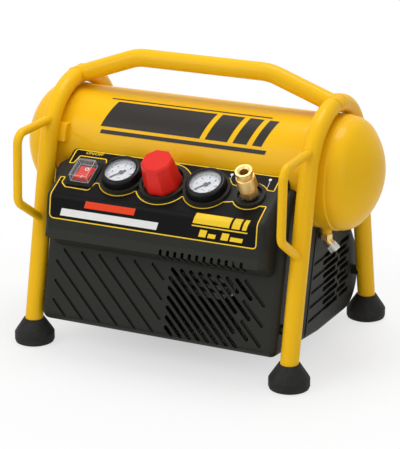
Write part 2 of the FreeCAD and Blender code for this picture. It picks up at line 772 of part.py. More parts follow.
def side_vents():
    """Brick-pattern slots through both side walls, with grooves running on forwards."""
    cutters = []
    span = 4 * housing_half
    for row in range(vent_rows):
        z = vent_z + row * vent_pitch
        start = vent_y - (vent_shift if row % 2 else 0)
        for y, length in ((start, vent_len), (start + vent_len + vent_gap, back_vent_len)):
            cutter = slot(length, vent_h, -span / 2, span / 2).rotate(V(0, 0, 0), Z, 90)
            cutter.rotate(V(0, 0, 0), Y, 90)
            cutters.append(cutter.translated(V(0, y + length / 2, z)))
        if row % 2 == 0:
            deep, half = housing_half - groove_deep, side_groove_w / 2
            for x in (deep, -deep - 2 * groove_deep):
                cutters.append(box(x, x + 2 * groove_deep, seam_at(z) + side_groove_gap,
                                   start + vent_h / 2, z - half, z + half))
    return cutters


def rear_vents():
    """Rows of slots through the sloping roof, upwards from its lower edge."""
    place = FreeCAD.Placement(V(0, *roof_at(knee_z)), FreeCAD.Rotation(X, -90 + roof_tilt))
    cutters = []
    for row in range(rear_vent_rows):
        for x in (-rear_vent_x, rear_vent_x):
            cutter = slot(rear_vent_len, vent_h, -2 * wall, wall)
            up = rear_vent_rise + row * vent_pitch
            cutters.append(moved(cutter.translated(V(x, -up, 0)), place))
    return cutters


def on_rear(shape):
    """From the cord inlet's own axes (Z out of the rear face)."""
    turn = FreeCAD.Rotation(X, -90 + rear_tilt)
    return moved(shape, FreeCAD.Placement(V(cord_x, rear_y(cord_z), cord_z), turn))


def rear_cover():
    """Rear shell with the raised bead along the joint, vents and rear screw posts."""
    bead = housing_form(-bead_h).common(seam_side(seam_gap / 2, False))
    bead = bead.common(seam_side(seam_gap / 2 + bead_w, True))
    outer = housing_form(0).common(seam_side(seam_gap / 2, False)).fuse(bead)
    posts = [screw_post(x, screw_rear_y) for x in (-screw_x, screw_x)]
    hollow = outer.cut([housing_form(wall), tank_space()])
    cutters = stud_holes() + side_vents() + rear_vents()
    cutters += [screw_space(x, screw_rear_y) for x in (-screw_x, screw_x)]
    cutters.append(on_rear(disc(cord_hole_d / 2, -2 * wall, wall)))
    return hollow.fuse(posts).cut(cutters).removeSplitter()


def cover_screws():
    screws = []
    for x in (-screw_x, screw_x):
        for y in (screw_front_y, screw_rear_y):
            shank = cyl(screw_d / 2, V(x, y, screw_seat_z), V(x, y, plate_top + 1.5))
            head = cyl(screw_head_d / 2, V(x, y, screw_seat_z - screw_head_h), V(x, y, screw_seat_z))
            screws.append(fuse(head, shank))
    return Part.makeCompound(screws)


def cord_grommet():
    """Rubber ring lining the cord hole, snapped over both faces of the wall."""
    lip, neck, hole = grommet_d / 2, cord_hole_d / 2 - fit, cord_d / 2
    return on_rear(turned([(hole, -wall - grommet_lip), (lip - 1, -wall - grommet_lip),
                           (lip - 1, -wall), (neck, -wall), (neck, 0), (lip, 0),
                           (lip - 1, grommet_lip), (hole, grommet_lip)]))


# ---- controls ---------------------------------------------------------------------

def gauge_case():
    """Black case with stem, bezel, lens seat and needle arbor."""
    r, edge, seat = gauge_d / 2, bezel_d / 2, bezel_d / 2 - bezel_wall
    bezel_top = lens_h + lens_t
    body = turned([(0, -gauge_deep), (r, -gauge_deep), (r, 0), (edge, 0), (edge, bezel_h),
                   (lip_in_d / 2, bezel_h), (lip_in_d / 2, bezel_top), (seat, bezel_top),
                   (seat, dial_h), (0, dial_h)])
    rim = [e for e in body.Edges if e.BoundBox.ZMin > bezel_h - 0.1 and e.BoundBox.XMax > seat]
    body = body.makeFillet(rim_round, rim)
    stem = disc(gauge_stem_d / 2, manifold_top, -gauge_deep)
    return fuse(body, stem, disc(arbor_d / 2, 0, dial_h + dial_t + 2))


def gauge_dial():
    return ring(bezel_d / 2 - bezel_wall - fit, arbor_d / 2 + fit, dial_h, dial_h + dial_t)


def gauge_lens():
    return disc(lens_d / 2, lens_h, lens_h + lens_t)


def gauge_needle():
    """Tapered pointer with its tail, at zero."""
    low = dial_h + dial_t + 0.6
    tip, root, tail = needle_tip_w / 2, needle_root_w / 2, tail_w / 2
    corners = [(-needle_tail, -tail), (0, -root), (needle_len, -tip), (needle_len, tip), (0, root),
               (-needle_tail, tail)]
    outline = Part.makePolygon([V(x, y, low) for x, y in corners + corners[:1]])
    blade = Part.Face(outline).extrude(V(0, 0, needle_t))
    shape = fuse(blade, disc(needle_hub_d / 2, low, low + needle_t))
    shape = shape.cut(disc(arbor_d / 2 + fit, 0, bezel_h))
    return shape.rotate(V(0, 0, 0), Z, zero_turn)


def regulator_body():
    return turned([(0, manifold_top), (regulator_d / 2, manifold_top),
                   (regulator_d / 2, regulator_top), (regulator_neck_d / 2, regulator_top),
                   (regulator_neck_d / 2, neck_top), (spindle_d / 2, neck_top),
                   (spindle_d / 2, spindle_top), (0, spindle_top)])


def regulator_nut():
    return hexagon(nut_d * math.sqrt(3) / 2, 0, nut_t).cut(disc(regulator_neck_d / 2 + fit, -1, nut_t + 1))


def regulator_knob():
    """Eight-sided tapered knob, hollow below, on a splined hub."""
    def octagon(radius, height):
        corners = [V(radius * math.cos(math.radians(a)), radius * math.sin(math.radians(a)), height)
                   for a in [22.5 + 45 * i for i in range(9)]]
        return Part.makePolygon(corners)

    rim = knob_top - knob_edge
    body = Part.makeLoft([octagon(knob_low_r, knob_low), octagon(knob_top_r, rim)], True, True)
    crown = Part.makeLoft([octagon(knob_top_r, rim), octagon(knob_top_r - knob_edge, knob_top)],
                          True, True)
    shape = fuse(body, crown)
    ridges = [e for e in shape.Edges if e.BoundBox.ZMin < rim < e.BoundBox.ZMax + 1e-6
              and e.BoundBox.ZLength > knob_edge]
    shape = shape.makeFillet(knob_round, ridges).cut(disc(knob_cup_r, 0, knob_low + knob_cup_h))
    hub = disc(knob_hub_d / 2, neck_top + 1, knob_low + knob_cup_h)
    shape = fuse(shape, hub)
    return shape.cut(disc(spindle_d / 2 + fit, 0, spindle_top + 0.5))


def coupler_body():
    """Female quick coupler: hexagon, plain neck for the sleeve, clip and mouth ring."""
    neck = coupler_neck_d / 2
    shape = fuse(disc(coupler_stem_d / 2, manifold_top, coupler_hex_low),
                 hexagon(coupler_across, coupler_hex_low, coupler_hex_top),
                 disc(neck, coupler_hex_top, coupler_ring_low),
                 disc(clip_d / 2, sleeve_top + hole_gap, sleeve_top + hole_gap + clip_h),
                 disc(coupler_ring_d / 2, coupler_ring_low, coupler_top))
    bore, mouth = coupler_bore_d / 2, coupler_top - mouth_deep
    return shape.cut(turned([(0, mouth - coupler_bore_len), (bore, mouth - coupler_bore_len),
                             (bore, mouth), (mouth_d / 2, coupler_top), (0, coupler_top)]))


def coupler_sleeve():
    inner = coupler_neck_d / 2 + fit
    low, top = sleeve_low_d / 2, sleeve_top_d / 2
    return turned([(inner, sleeve_low), (low - 0.8, sleeve_low), (low, sleeve_low + 0.8),
                   (top, sleeve_top - 0.8), (top - 0.8, sleeve_top), (inner, sleeve_top)])


def switch_body():
    shape = fuse(rounded_box(switch_bezel_w, switch_bezel_l, 0, switch_bezel_h, 3),
                 rounded_box(switch_w, switch_l, -switch_deep, 0, 1))
    pocket = box(-pocket_w / 2, pocket_w / 2, -pocket_l / 2, pocket_l / 2, -pocket_deep,
                 switch_bezel_h)
    reach = pocket_w / 2 + rocker_pin_in + hole_gap
    pins = cyl(rocker_pin_d / 2 + fit, V(-reach, 0, rocker_pivot_h), V(reach, 0, rocker_pivot_h))
    return shape.cut([pocket, pins])


def switch_rocker():
    """See-saw button with a shallow V top, resting with its lower end pressed."""
    half = pocket_l / 2 - 1.45
    rise = half * math.tan(math.radians(rocker_tilt))
    top = switch_bezel_h - rocker_pivot_h - 0.5
    profile = [(0, top), (half, top + rise), (half + 0.5, top - 2), (half, -4), (half / 2, -8.5),
               (-half / 2, -8.5), (-half, -4), (-half - 0.5, top - 2), (-half, top + rise)]
    width = pocket_w / 2 - rocker_gap
    body = across_x(profile, [0] * len(profile), width)
    reach = pocket_w / 2 + rocker_pin_in
    body = fuse(body, cyl(rocker_pin_d / 2, V(-reach, 0, 0), V(reach, 0, 0)))
    return body.rotate(V(0, 0, 0), X, -rocker_tilt).translate(V(0, 0, rocker_pivot_h))


def switch_splash_cover():
    """Clear draft-sided cover over the rocker."""
    def frustum(width, length, low, high, draft):
        wires = [Part.makePolygon([V(sx * (width / 2 - d), sy * (length / 2 - d), h)
                                   for sx, sy in ((-1, -1), (1, -1), (1, 1), (-1, 1), (-1, -1))])
                 for h, d in ((low, 0), (high, draft))]
        return Part.makeLoft(wires, True, True)

    low, t = switch_bezel_h, splash_wall
    outer = frustum(splash_low_w, splash_low_l, low, low + splash_h, splash_draft)
    inner = frustum(splash_low_w - 2 * t, splash_low_l - 2 * t, low, low + splash_h - t, splash_draft)
    return outer.cut(inner)


def manifold():
    """Bar that carries the gauges, regulator and coupler, with two nipples into the tank."""
    size, low = manifold_size, manifold_top - manifold_size
    bar_shape = box(manifold_left, manifold_right, -size / 2, size / 2, low, manifold_top)
    shell = Part.makeCylinder(tank_r, 2 * housing_half, V(-housing_half, 0, tank_z), X)
    nipples = []
    for x in nipple_x:
        start = V(x, 0, low + size / 2)
        nipples.append(on_panel(cyl(nipple_d / 2, start, start + V(0, tank_r, 0)), 0, row_s).cut(shell))
    return fuse(on_panel(bar_shape, 0, row_s), *nipples)


# ---- base plate, motor and pump ---------------------------------------------------

def base_plate():
    """Pressed plate with turned-up edges and ears bolted to the frame studs."""
    inside = housing_half - wall
    raw = box(-inside, inside, front_low_y, rear_low_y, plate_z, plate_top)
    shape = raw.cut([box(s * inside - plate_t, s * inside + plate_t, -stud_y + ear_w / 2,
                         stud_y - ear_w / 2, 0, plate_top + 1) for s in (-1, 1)])
    ears = []
    for s in (-1, 1):
        outer = s * (inside - plate_gap)
        x0, x1 = sorted((outer, outer - s * plate_t))
        for y in (-stud_y, stud_y):
            ears.append(box(x0, x1, y - ear_w / 2, y + ear_w / 2, plate_z, ear_top_z))
    shape = fuse(shape, *ears).common(housing_form(wall + plate_gap))
    holes = stud_holes()
    holes += [cyl(screw_d / 2 + fit, V(x, y, 0), V(x, y, shaft_z))
              for x in (-screw_x, screw_x) for y in (screw_front_y, screw_rear_y)]
    return shape.cut(holes)


def frame_nuts():
    nuts = []
    reach = housing_half - wall - plate_gap - plate_t
    for y in (-stud_y, stud_y):
        nut = hexagon(nut_across, 0, nut_h).cut(disc(stud_d / 2 + fit, -1, nut_h + 1))
        nut.rotate(V(0, 0, 0), Y, 90)
        nuts.append(nut.translated(V(reach - nut_h, y, stud_z)))
        nuts.append(nut.translated(V(-reach, y, stud_z)))
    return Part.makeCompound(nuts)


def rubber_mounts():
    return Part.makeCompound([cyl(mount_d / 2, V(x, shaft_y + y, plate_top), V(x, shaft_y + y, feet_z))
                              for x in mount_x for y in (-mount_half_y, mount_half_y)])


def set_foot(x):
    """Flat foot across two rubber mounts."""
    half_x, half_y = mount_d / 2 + 2, mount_half_y + mount_d / 2 + 1
    return box(x - half_x, x + half_x, shaft_y - half_y, shaft_y + half_y, feet_z,
               feet_z + foot_plate_t)


def stator():
    return on_shaft(ring(motor_r, rotor_r + air_gap, stator_left, stator_right))


def windings():
    rings = [ring(winding_out_r, winding_in_r, low, low + winding_len)
             for low in (stator_left - winding_len, stator_right)]
    return Part.makeCompound([on_shaft(r) for r in rings])


def motor_rotor():
    """Laminated rotor on the crankshaft."""
    shaft = disc(shaft_d / 2, shaft_left, disc_left + disc_w)
    core = disc(rotor_r, stator_left + 3, stator_right - 3)
    return on_shaft(fuse(core, shaft))


def bearing_left():
    """Left end of the outer bearing, inside the bracket hub."""
    return bracket_left + 2


def crank_bearing_left():
    return crank_wall_x + 2


def bearings():
    lows = (bearing_left(), crank_bearing_left())
    return Part.makeCompound([on_shaft(ring(bearing_d / 2, shaft_d / 2 + fit, low, low + bearing_w))
                              for low in lows])


def motor_end_bracket():
    """Bell over the winding ends with six windows, bearing hub and foot."""
    bell = disc(motor_r, bracket_left, stator_left)
    bell = bell.cut(disc(motor_r - motor_wall, bracket_left + motor_wall, stator_left))
    shape = bell.fuse(disc(hub_d / 2, bracket_left, bracket_left + hub_w))
    seat = disc(bearing_d / 2, bearing_left(), bracket_left + hub_w)
    bore = disc(bearing_d / 2 - 3, bracket_left, bearing_left())
    window = box((hub_d / 2) + 3, motor_r - motor_wall - 3, -7, 7, bracket_left - 1,
                 bracket_left + motor_wall + 1)
    windows = [window.copy().rotate(V(0, 0, 0), Z, a) for a in range(0, 360, 60)]
    shape = on_shaft(shape.cut([seat, bore] + windows))
    hollow = on_shaft(disc(motor_r - motor_wall, bracket_left + motor_wall, stator_left))
    return fuse(shape, set_foot(mount_x[0]).cut(hollow))


def cooling_fan():
    """Hub with pitched straight blades."""
    hub = disc(fan_hub_d / 2, fan_left, fan_left + fan_w)
    blades = []
    middle = fan_left + fan_w / 2
    for i in range(fan_blades):
        blade = Part.makeBox(fan_r - fan_hub_d / 2 + 2, 1.6, fan_w - 1, V(fan_hub_d / 2 - 2, -0.8,
                                                                         -(fan_w - 1) / 2))
        blade.rotate(V(0, 0, 0), X, 30)
        blade.translate(V(0, 0, middle))
        blades.append(blade.rotate(V(0, 0, 0), Z, 360 / fan_blades * i))
    whole = fuse(hub, *blades).common(disc(fan_r + 1, fan_left, fan_left + fan_w))
    return on_shaft(whole.cut(disc(shaft_d / 2, fan_left - 1, fan_left + fan_w + 1)))


def capacitor():
    """Run capacitor with its strap foot."""
    z = plate_top + capacitor_d / 2 + 1
    r = capacitor_d / 2
    can = cyl(r, V(capacitor_left, capacitor_y, z), V(capacitor_right, capacitor_y, z))
    middle = (capacitor_left + capacitor_right) / 2
    strap = cyl(r + 1, V(middle - 7, capacitor_y, z), V(middle + 7, capacitor_y, z))
    base = box(middle - 7, middle + 7, capacitor_y - r - 8, capacitor_y + r + 8, plate_top,
               plate_top + 1.5)
    return fuse(can, strap, base)


def crankcase():
    """Drum joined to the stator, bearing hub, cylinder seat and foot."""
    drum = disc(motor_r, stator_right, drum_right)
    hollow = disc(motor_r - motor_wall, stator_right, drum_right)
    partition = disc(motor_r - 1, crank_wall_x, crank_wall_x + 2 * motor_wall)
    hub = disc(hub_d / 2, crank_wall_x, crank_wall_x + hub_w)
    seat = disc(bearing_d / 2, crank_bearing_left(), crank_wall_x + hub_w)
    bore = disc(bearing_d / 2 - 3, crank_wall_x, crank_bearing_left())
    space = on_shaft(hollow)
    outside = on_shaft(disc(motor_r, stator_right, drum_right))
    neck = on_cylinder(disc(boss_out_d / 2, -shaft_y, -cylinder_foot_y))
    shape = on_shaft(drum).fuse([neck, set_foot(mount_x[1])])
    shape = shape.cut([space, on_cylinder(disc(bore_d / 2 + 1, -shaft_y, -cylinder_top_y)),
                       box(-motor_r, 2 * drum_right, 2 * cylinder_top_y, cylinder_foot_y, 0, tank_z)])
    inner = on_shaft(partition.fuse(hub).cut([seat, bore]))
    return fuse(shape, inner.common(outside))


def crankcase_cover():
    shape = on_shaft(disc(motor_r, drum_right, drum_right + cover_t))
    return shape.cut(box(0, 2 * drum_right, 2 * cylinder_top_y, cylinder_foot_y, 0, tank_z))


def crank_disc():
    """Counterweighted disc with its offset pin, at top dead centre."""
    web = disc(disc_d / 2, disc_left, disc_left + disc_w)
    lighten = box(-disc_d, disc_d, -disc_d, -disc_d / 4 - throw / 2, disc_left - 1, disc_left + disc_w + 1)
    lighten = lighten.cut(disc(pin_d, disc_left - 2, disc_left + disc_w + 2).translated(V(0, -throw, 0)))
    end = cylinder_x - rod_w / 2 - pin_gap
    pin = disc(pin_d / 2, disc_left + disc_w, end).translated(V(0, -throw, 0))
    shape = fuse(web.cut(lighten), pin)
    return on_shaft(shape.cut(disc(shaft_d / 2, disc_left - 1, disc_left + disc_w)))


def piston_rod():
    """One-piece rod and crown of an oil-free pump, at top dead centre."""
    top = -cylinder_top_y - crown_gap
    crown = disc(bore_d / 2 - fit, top - crown_h, top)
    eye_y = shaft_y - throw
    half = rod_w / 2
    eye = cyl(eye_d / 2, V(-half, 0, -eye_y), V(half, 0, -eye_y))
    beam = box(-half + 1, half - 1, -6, 6, -eye_y, top - crown_h / 2)
    shape = fuse(crown, eye, beam)
    return on_cylinder(shape.cut(cyl(pin_d / 2 + 1.5, V(-half - 1, 0, -eye_y), V(half + 1, 0, -eye_y))))


def cylinder():
    """Finned barrel."""
    low, top = -cylinder_foot_y, -cylinder_top_y
    barrel = disc(bore_d / 2 + cylinder_wall, low, top)
    flange = disc(boss_out_d / 2, low, low + 3)
    fins = [disc(fin_d / 2, top - fin_pitch * (i + 1), top - fin_pitch * (i + 1) + fin_t)
            for i in range(fin_count)]
    return on_cylinder(fuse(barrel, flange, *fins).cut(disc(bore_d / 2, low - 1, top + 1)))


def valve_plate():
    top = -cylinder_top_y
    return on_cylinder(rounded_box(valve_plate_w, valve_plate_w, top, top + valve_plate_t, 6))


def cylinder_head():
    """Finned head block."""
    low = -cylinder_top_y + valve_plate_t
    block = rounded_box(head_w, head_w, low, low + head_h, 6)
    half = head_slot_w / 2
    gaps = [box(-head_w, head_w, i * head_slot_pitch - half, i * head_slot_pitch + half,
                low + head_h / 2, low + head_h + 1) for i in range(-2, 3)]
    return on_cylinder(block.cut(gaps))


def intake_filter():
    start = cylinder_x - head_w / 2
    y = filter_y
    shape = cyl(filter_d / 2, V(start - filter_len, y, filter_z), V(start - 4, y, filter_z))
    return fuse(shape, cyl(filter_d / 4, V(start - filter_len, y, filter_z), V(start, y, filter_z)))


def check_valve():
    half = check_across / 2
    low = delivery_z - 7
    nut = hexagon(check_across, low, port_z).translated(V(check_x, 0, 0))
    stem = cyl(port_d / 2 - fit, V(check_x, 0, port_z), V(check_x, 0, port_z + boss_len - 2))
    stub = cyl(5, V(check_x, 0, delivery_z), V(check_x, -half - stub_len + 6, delivery_z))
    return fuse(nut, stem, stub)


def delivery_tube():
    """Copper pipe from the cylinder head to the check valve."""
    head_top = shaft_z + head_w / 2
    head_mid = cylinder_top_y - valve_plate_t - head_h / 4
    points = [V(delivery_x, head_mid, head_top), V(delivery_x, head_mid, delivery_z + 8),
              V(check_x, head_mid + delivery_back, delivery_z),
              V(check_x, -check_across / 2 - stub_len + 6, delivery_z)]
    outer, inner = delivery_d / 2, delivery_d / 2 - delivery_wall
    return bar(points, tube_bend_r, outer).cut(bar(points, tube_bend_r, inner))


def pressure_switch():
    shape = rounded_box(pressure_w, pressure_d, pressure_low_z, port_z, 5)
    stem = disc(port_d / 2 - fit, port_z, port_z + boss_len - 2)
    return fuse(shape, stem).translate(V(pressure_x, 0, 0))


def unloader_tube():
    """Thin pipe from the check valve to the pressure switch."""
    side = check_x + check_across / math.sqrt(3)
    return cyl(unloader_d / 2, V(side, 0, delivery_z), V(pressure_x - pressure_w / 2, 0, delivery_z))


# ---- all pieces -------------------------------------------------------------------

def pieces():
    right, loop, head = right_frame(), right_guard_loop(), right_tank_head()
    shapes = {
        "right_frame": right,
        "left_frame": mirrored(right),
        "carry_handle": carry_handle(),
        "right_guard_loop": loop,
        "left_guard_loop": mirrored(loop),
        "right_front_foot": foot(frame_x, -1),
        "left_front_foot": foot(-frame_x, -1),
        "right_rear_foot": foot(frame_x, 1),
        "left_rear_foot": foot(-frame_x, 1),
        "tank_shell": tank_shell(),
        "right_tank_head": head,
        "left_tank_head": mirrored(head),
        "tank_bosses": tank_bosses(),
        "drain_valve_body": drain_valve_body(),
        "drain_valve_knob": drain_valve_knob(),
        "safety_valve_body": safety_valve_body(),
        "safety_valve_ring": safety_valve_ring(),
        "front_cover": front_cover(),
        "rear_cover": rear_cover(),
        "cover_screws": cover_screws(),
        "cord_grommet": cord_grommet(),
        "regulator_body": on_panel(regulator_body(), knob_x, row_s),
        "regulator_nut": on_panel(regulator_nut(), knob_x, row_s),
        "regulator_knob": on_panel(regulator_knob(), knob_x, row_s),
        "coupler_body": on_panel(coupler_body(), coupler_x, row_s),
        "coupler_sleeve": on_panel(coupler_sleeve(), coupler_x, row_s),
        "switch_body": on_panel(switch_body(), switch_x, switch_s),
        "switch_rocker": on_panel(switch_rocker(), switch_x, switch_s),
        "switch_splash_cover": on_panel(switch_splash_cover(), switch_x, switch_s),
        "manifold": manifold(),
        "base_plate": base_plate(),
        "frame_nuts": frame_nuts(),
        "rubber_mounts": rubber_mounts(),
        "stator": stator(),
        "windings": windings(),
        "motor_rotor": motor_rotor(),
        "bearings": bearings(),
        "motor_end_bracket": motor_end_bracket(),
        "cooling_fan": cooling_fan(),
        "capacitor": capacitor(),
        "crankcase": crankcase(),
        "crankcase_cover": crankcase_cover(),
        "crank_disc": crank_disc(),
        "piston_rod": piston_rod(),
        "cylinder": cylinder(),
        "valve_plate": valve_plate(),
        "cylinder_head": cylinder_head(),
        "intake_filter": intake_filter(),
        "check_valve": check_valve(),
        "delivery_tube": delivery_tube(),
        "pressure_switch": pressure_switch(),
        "unloader_tube": unloader_tube(),
    }
    for name, x in (("tank_gauge", left_gauge_x), ("outlet_gauge", right_gauge_x)):
        for part, make in (("case", gauge_case), ("dial", gauge_dial), ("needle", gauge_needle),
                           ("lens", gauge_lens)):
            shapes[name + "_" + part] = on_panel(make(), x, row_s)
    return shapes


def main():
    shapes = pieces()
    front = shapes["right_guard_loop"].optimalBoundingBox(False, False).YMin
    back = shapes["right_rear_foot"].optimalBoundingBox(False, False).YMax
    os.makedirs("parts", exist_ok=True)
    for name, shape in shapes.items():
        shape.translate(V(0, -(front + back) / 2, 0))
        shape.exportStep("parts/" + name + ".step")
    print(len(shapes), "pieces; moved in Y by", round(-(front + back) / 2, 4))


main()
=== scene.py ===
"""Dresses a portable air compressor: paint, moulded plastic, printed panel, gauges, brass and rubber."""
import json
import math
import bmesh
import bpy
from mathutils import Matrix, Vector
from mathutils.bvhtree import BVHTree


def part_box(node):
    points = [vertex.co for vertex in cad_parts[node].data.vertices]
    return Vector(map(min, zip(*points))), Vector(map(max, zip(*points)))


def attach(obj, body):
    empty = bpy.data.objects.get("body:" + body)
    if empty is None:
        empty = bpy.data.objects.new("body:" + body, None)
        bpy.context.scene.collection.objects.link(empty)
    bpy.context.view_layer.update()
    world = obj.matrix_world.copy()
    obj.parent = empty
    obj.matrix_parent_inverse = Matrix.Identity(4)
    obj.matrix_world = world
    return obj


bl_info = {
    "name": "Portable Air Compressor Finish",
    "version": (1, 0, 0),
    "blender": (4, 5, 0),
    "location": "View3D > Sidebar > Compressor",
    "description": "Paints, prints and lights the packed air compressor",
    "category": "Object",
}

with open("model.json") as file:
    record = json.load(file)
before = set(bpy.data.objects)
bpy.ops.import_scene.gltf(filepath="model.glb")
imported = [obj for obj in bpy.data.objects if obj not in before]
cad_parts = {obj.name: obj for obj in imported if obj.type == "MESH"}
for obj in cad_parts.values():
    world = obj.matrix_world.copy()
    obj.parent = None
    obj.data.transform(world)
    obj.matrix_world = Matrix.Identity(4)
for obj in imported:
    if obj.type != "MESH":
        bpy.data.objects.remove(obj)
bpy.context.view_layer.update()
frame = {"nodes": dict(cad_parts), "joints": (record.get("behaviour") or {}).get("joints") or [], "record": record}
JOINTS = {joint["name"]: joint for joint in frame["joints"]}
SLOTS = {part["node"]: part["material_slot"] for part in frame["record"]["subparts"]}
MM = 0.001

# ---- where things are, from the frame ----------------------------------------------

ACROSS = Vector((1, 0, 0))
OUT = Vector(JOINTS["regulator_knob_hinge"]["axis"])
UP_FACE = OUT.cross(ACROSS)
ROW = 41.0 * MM                       # controls' line above the bend
SWITCH_ROW = 37.5 * MM
KNOB_LIFT = 20.0 * MM                 # the knob joint's height over the control face
KNOB_AT = Vector(JOINTS["regulator_knob_hinge"]["pos_m"])
GAUGE_X = [JOINTS[side + "_gauge_needle_hinge"]["pos_m"][0] for side in ("tank", "outlet")]
COUPLER_X = sum(corner.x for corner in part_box("coupler_body")) / 2
SWITCH_X = JOINTS["switch_rocker_hinge"]["pos_m"][0]

BEND = Vector((0, KNOB_AT.y, KNOB_AT.z)) - OUT * KNOB_LIFT - UP_FACE * ROW
BEND_R = 9.0 * MM
TITLE_LEAN = 0.13
DOWN_FACE = Vector((0, -TITLE_LEAN, -1)).normalized()
TITLE_OUT = Vector((0, -1, TITLE_LEAN)).normalized()
TURN = TITLE_OUT.angle(OUT)
BEND_REACH = BEND_R * math.tan(TURN / 2)
BEND_CENTRE = BEND + UP_FACE * BEND_REACH - OUT * BEND_R

TANK_LOW, TANK_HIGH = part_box("tank_shell")
TANK_R = (TANK_HIGH.y - TANK_LOW.y) / 2
TANK_Y, TANK_Z = (TANK_HIGH.y + TANK_LOW.y) / 2, (TANK_HIGH.z + TANK_LOW.z) / 2


def points_of(node):
    """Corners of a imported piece's mesh."""
    return [vert.co for vert in frame["nodes"][node].data.vertices]


def on_face(x, s, h=0.0):
    """Point on the control face: across, up the face from the bend, out of it."""
    return BEND + ACROSS * x + UP_FACE * s + OUT * h


def on_fold(x, t, h=0.0):
    """Point on the console skin: t runs up the control face, and down the title face below 0."""
    if t >= BEND_REACH:
        return on_face(x, t, h)
    if t <= -BEND_REACH:
        return BEND + ACROSS * x - DOWN_FACE * t + TITLE_OUT * h
    angle = (t / BEND_REACH + 1) / 2 * TURN
    normal = Matrix.Rotation(-angle, 3, "X") @ TITLE_OUT
    return BEND_CENTRE + ACROSS * x + normal * (BEND_R + h)


# ---- shader sums -------------------------------------------------------------------

class Value:
    """A number on a shader socket, used in sums."""

    def __init__(self, finish, socket):
        self.finish = finish
        self.socket = socket

    def sum(self, operation, *values):
        inputs = dict(enumerate(values))
        return self.finish.node("ShaderNodeMath", {"operation": operation}, inputs)

    def __add__(self, other):
        return self.sum("ADD", self, other)

    __radd__ = __add__

    def __sub__(self, other):
        return self.sum("SUBTRACT", self, other)

    def __rsub__(self, other):
        return self.sum("SUBTRACT", other, self)

    def __mul__(self, other):
        return self.sum("MULTIPLY", self, other)

    __rmul__ = __mul__

    def __gt__(self, other):
        return self.sum("GREATER_THAN", self, other)

    def __lt__(self, other):
        return self.sum("LESS_THAN", self, other)

    def __abs__(self):
        return self.sum("ABSOLUTE", self)

    def clamped(self):
        return self.sum("MINIMUM", self.sum("MAXIMUM", self, 0.0), 1.0)

    def between(self, low, high):
        """1 inside the span, else 0."""
        return (self > low) * (self < high)

    def past(self, edge, over):
        """Rises from 0 to 1 over a distance beyond the edge."""
        return ((self - edge) * (1 / over)).clamped()


class Nodes:
    """A shader node tree that sums and nodes are added to."""

    def __init__(self, tree):
        self.tree = tree

    def node(self, kind, settings=None, inputs=None, output=0):
        """Adds a node: settings first, then the values or links of its sockets."""
        made = self.tree.nodes.new(kind)
        for key, value in (settings or {}).items():
            setattr(made, key, value)
        for key, value in (inputs or {}).items():
            self.put(made.inputs[key], value)
        return Value(self, made.outputs[output])

    def put(self, socket, value):
        if isinstance(value, Value):
            self.tree.links.new(value.socket, socket)
        else:
            socket.default_value = value

    def mix(self, factor, first, second):
        """Colour between two colours."""
        return self.node("ShaderNodeMix", {"data_type": "RGBA"},
                         {0: factor, 6: first, 7: second}, output=2)

    def seen_rays(self):
        """1 for rays from the camera, a mirror or a clear piece, else 0."""
        camera, glossy, through = (self.node("ShaderNodeLightPath", output=f"Is {kind} Ray")
                                   for kind in ("Camera", "Glossy", "Transmission"))
        return (camera + glossy + through).clamped()


class Finish(Nodes):
    """One procedural material. Constants are set on the shader's own sockets."""

    def __init__(self, name, **constants):
        self.material = bpy.data.materials.new(name)
        self.material.use_nodes = True
        super().__init__(self.material.node_tree)
        self.shader = self.tree.nodes["Principled BSDF"]
        for key, value in constants.items():
            self.shader.inputs[key.replace("_", " ")].default_value = value

    def feed(self, name, value):
        self.put(self.shader.inputs[name], value)

    def place(self, scale=(1, 1, 1)):
        """Object coordinates, stretched by the scale."""
        here = self.node("ShaderNodeTexCoord", output="Object")
        return self.node("ShaderNodeMapping", {}, {"Vector": here, "Scale": scale})

    def axes(self):
        """The three object coordinates."""
        place = self.place()
        return [self.node("ShaderNodeSeparateXYZ", {}, {0: place}, output=i) for i in range(3)]

    def speckle(self, scale, detail=2.0, roughness=0.5, stretch=(1, 1, 1)):
        """Smooth noise between 0 and 1, that varies over the piece."""
        return self.node("ShaderNodeTexNoise", {}, {"Vector": self.place(stretch), "Scale": scale,
                                                    "Detail": detail, "Roughness": roughness})

    def bump(self, height, distance):
        self.feed("Normal", self.node("ShaderNodeBump", {}, {"Height": height, "Distance": distance}))


def shade(colour, factor):
    """The colour, lighter or darker."""
    return tuple(min(1.0, c * factor) for c in colour[:3]) + (1.0,)


FINISHES = {}


def finish(name, **constants):
    """A finish that pieces can name."""
    made = Finish(name, **constants)
    FINISHES[name] = made.material
    return made


# ---- finishes ----------------------------------------------------------------------

LEG_X, LEG_FOOT_Y, LEG_SPLAY = 170 * MM, 132.2 * MM, 0.2144      # legs' middle lines
LEG_TILT = math.cos(math.atan(LEG_SPLAY))
# painted shade: at this height, yellow off the legs' tubes (the stubs beside the housing) is coloured black
STUB_SHADE_R = 11.3 * MM                  # just outside the leg's tube
STUB_SHADE_LOW, STUB_SHADE_HIGH = 57 * MM, 75 * MM
STUB_SHADE_BLACK = (0.012, 0.012, 0.011, 1)
DUST = (0.07, 0.068, 0.062, 1)

FRONT_LEAN, SEAM_LEAN, LIP_FLARE = 0.24, 0.25, 0.34              # run backwards for a rise of 1
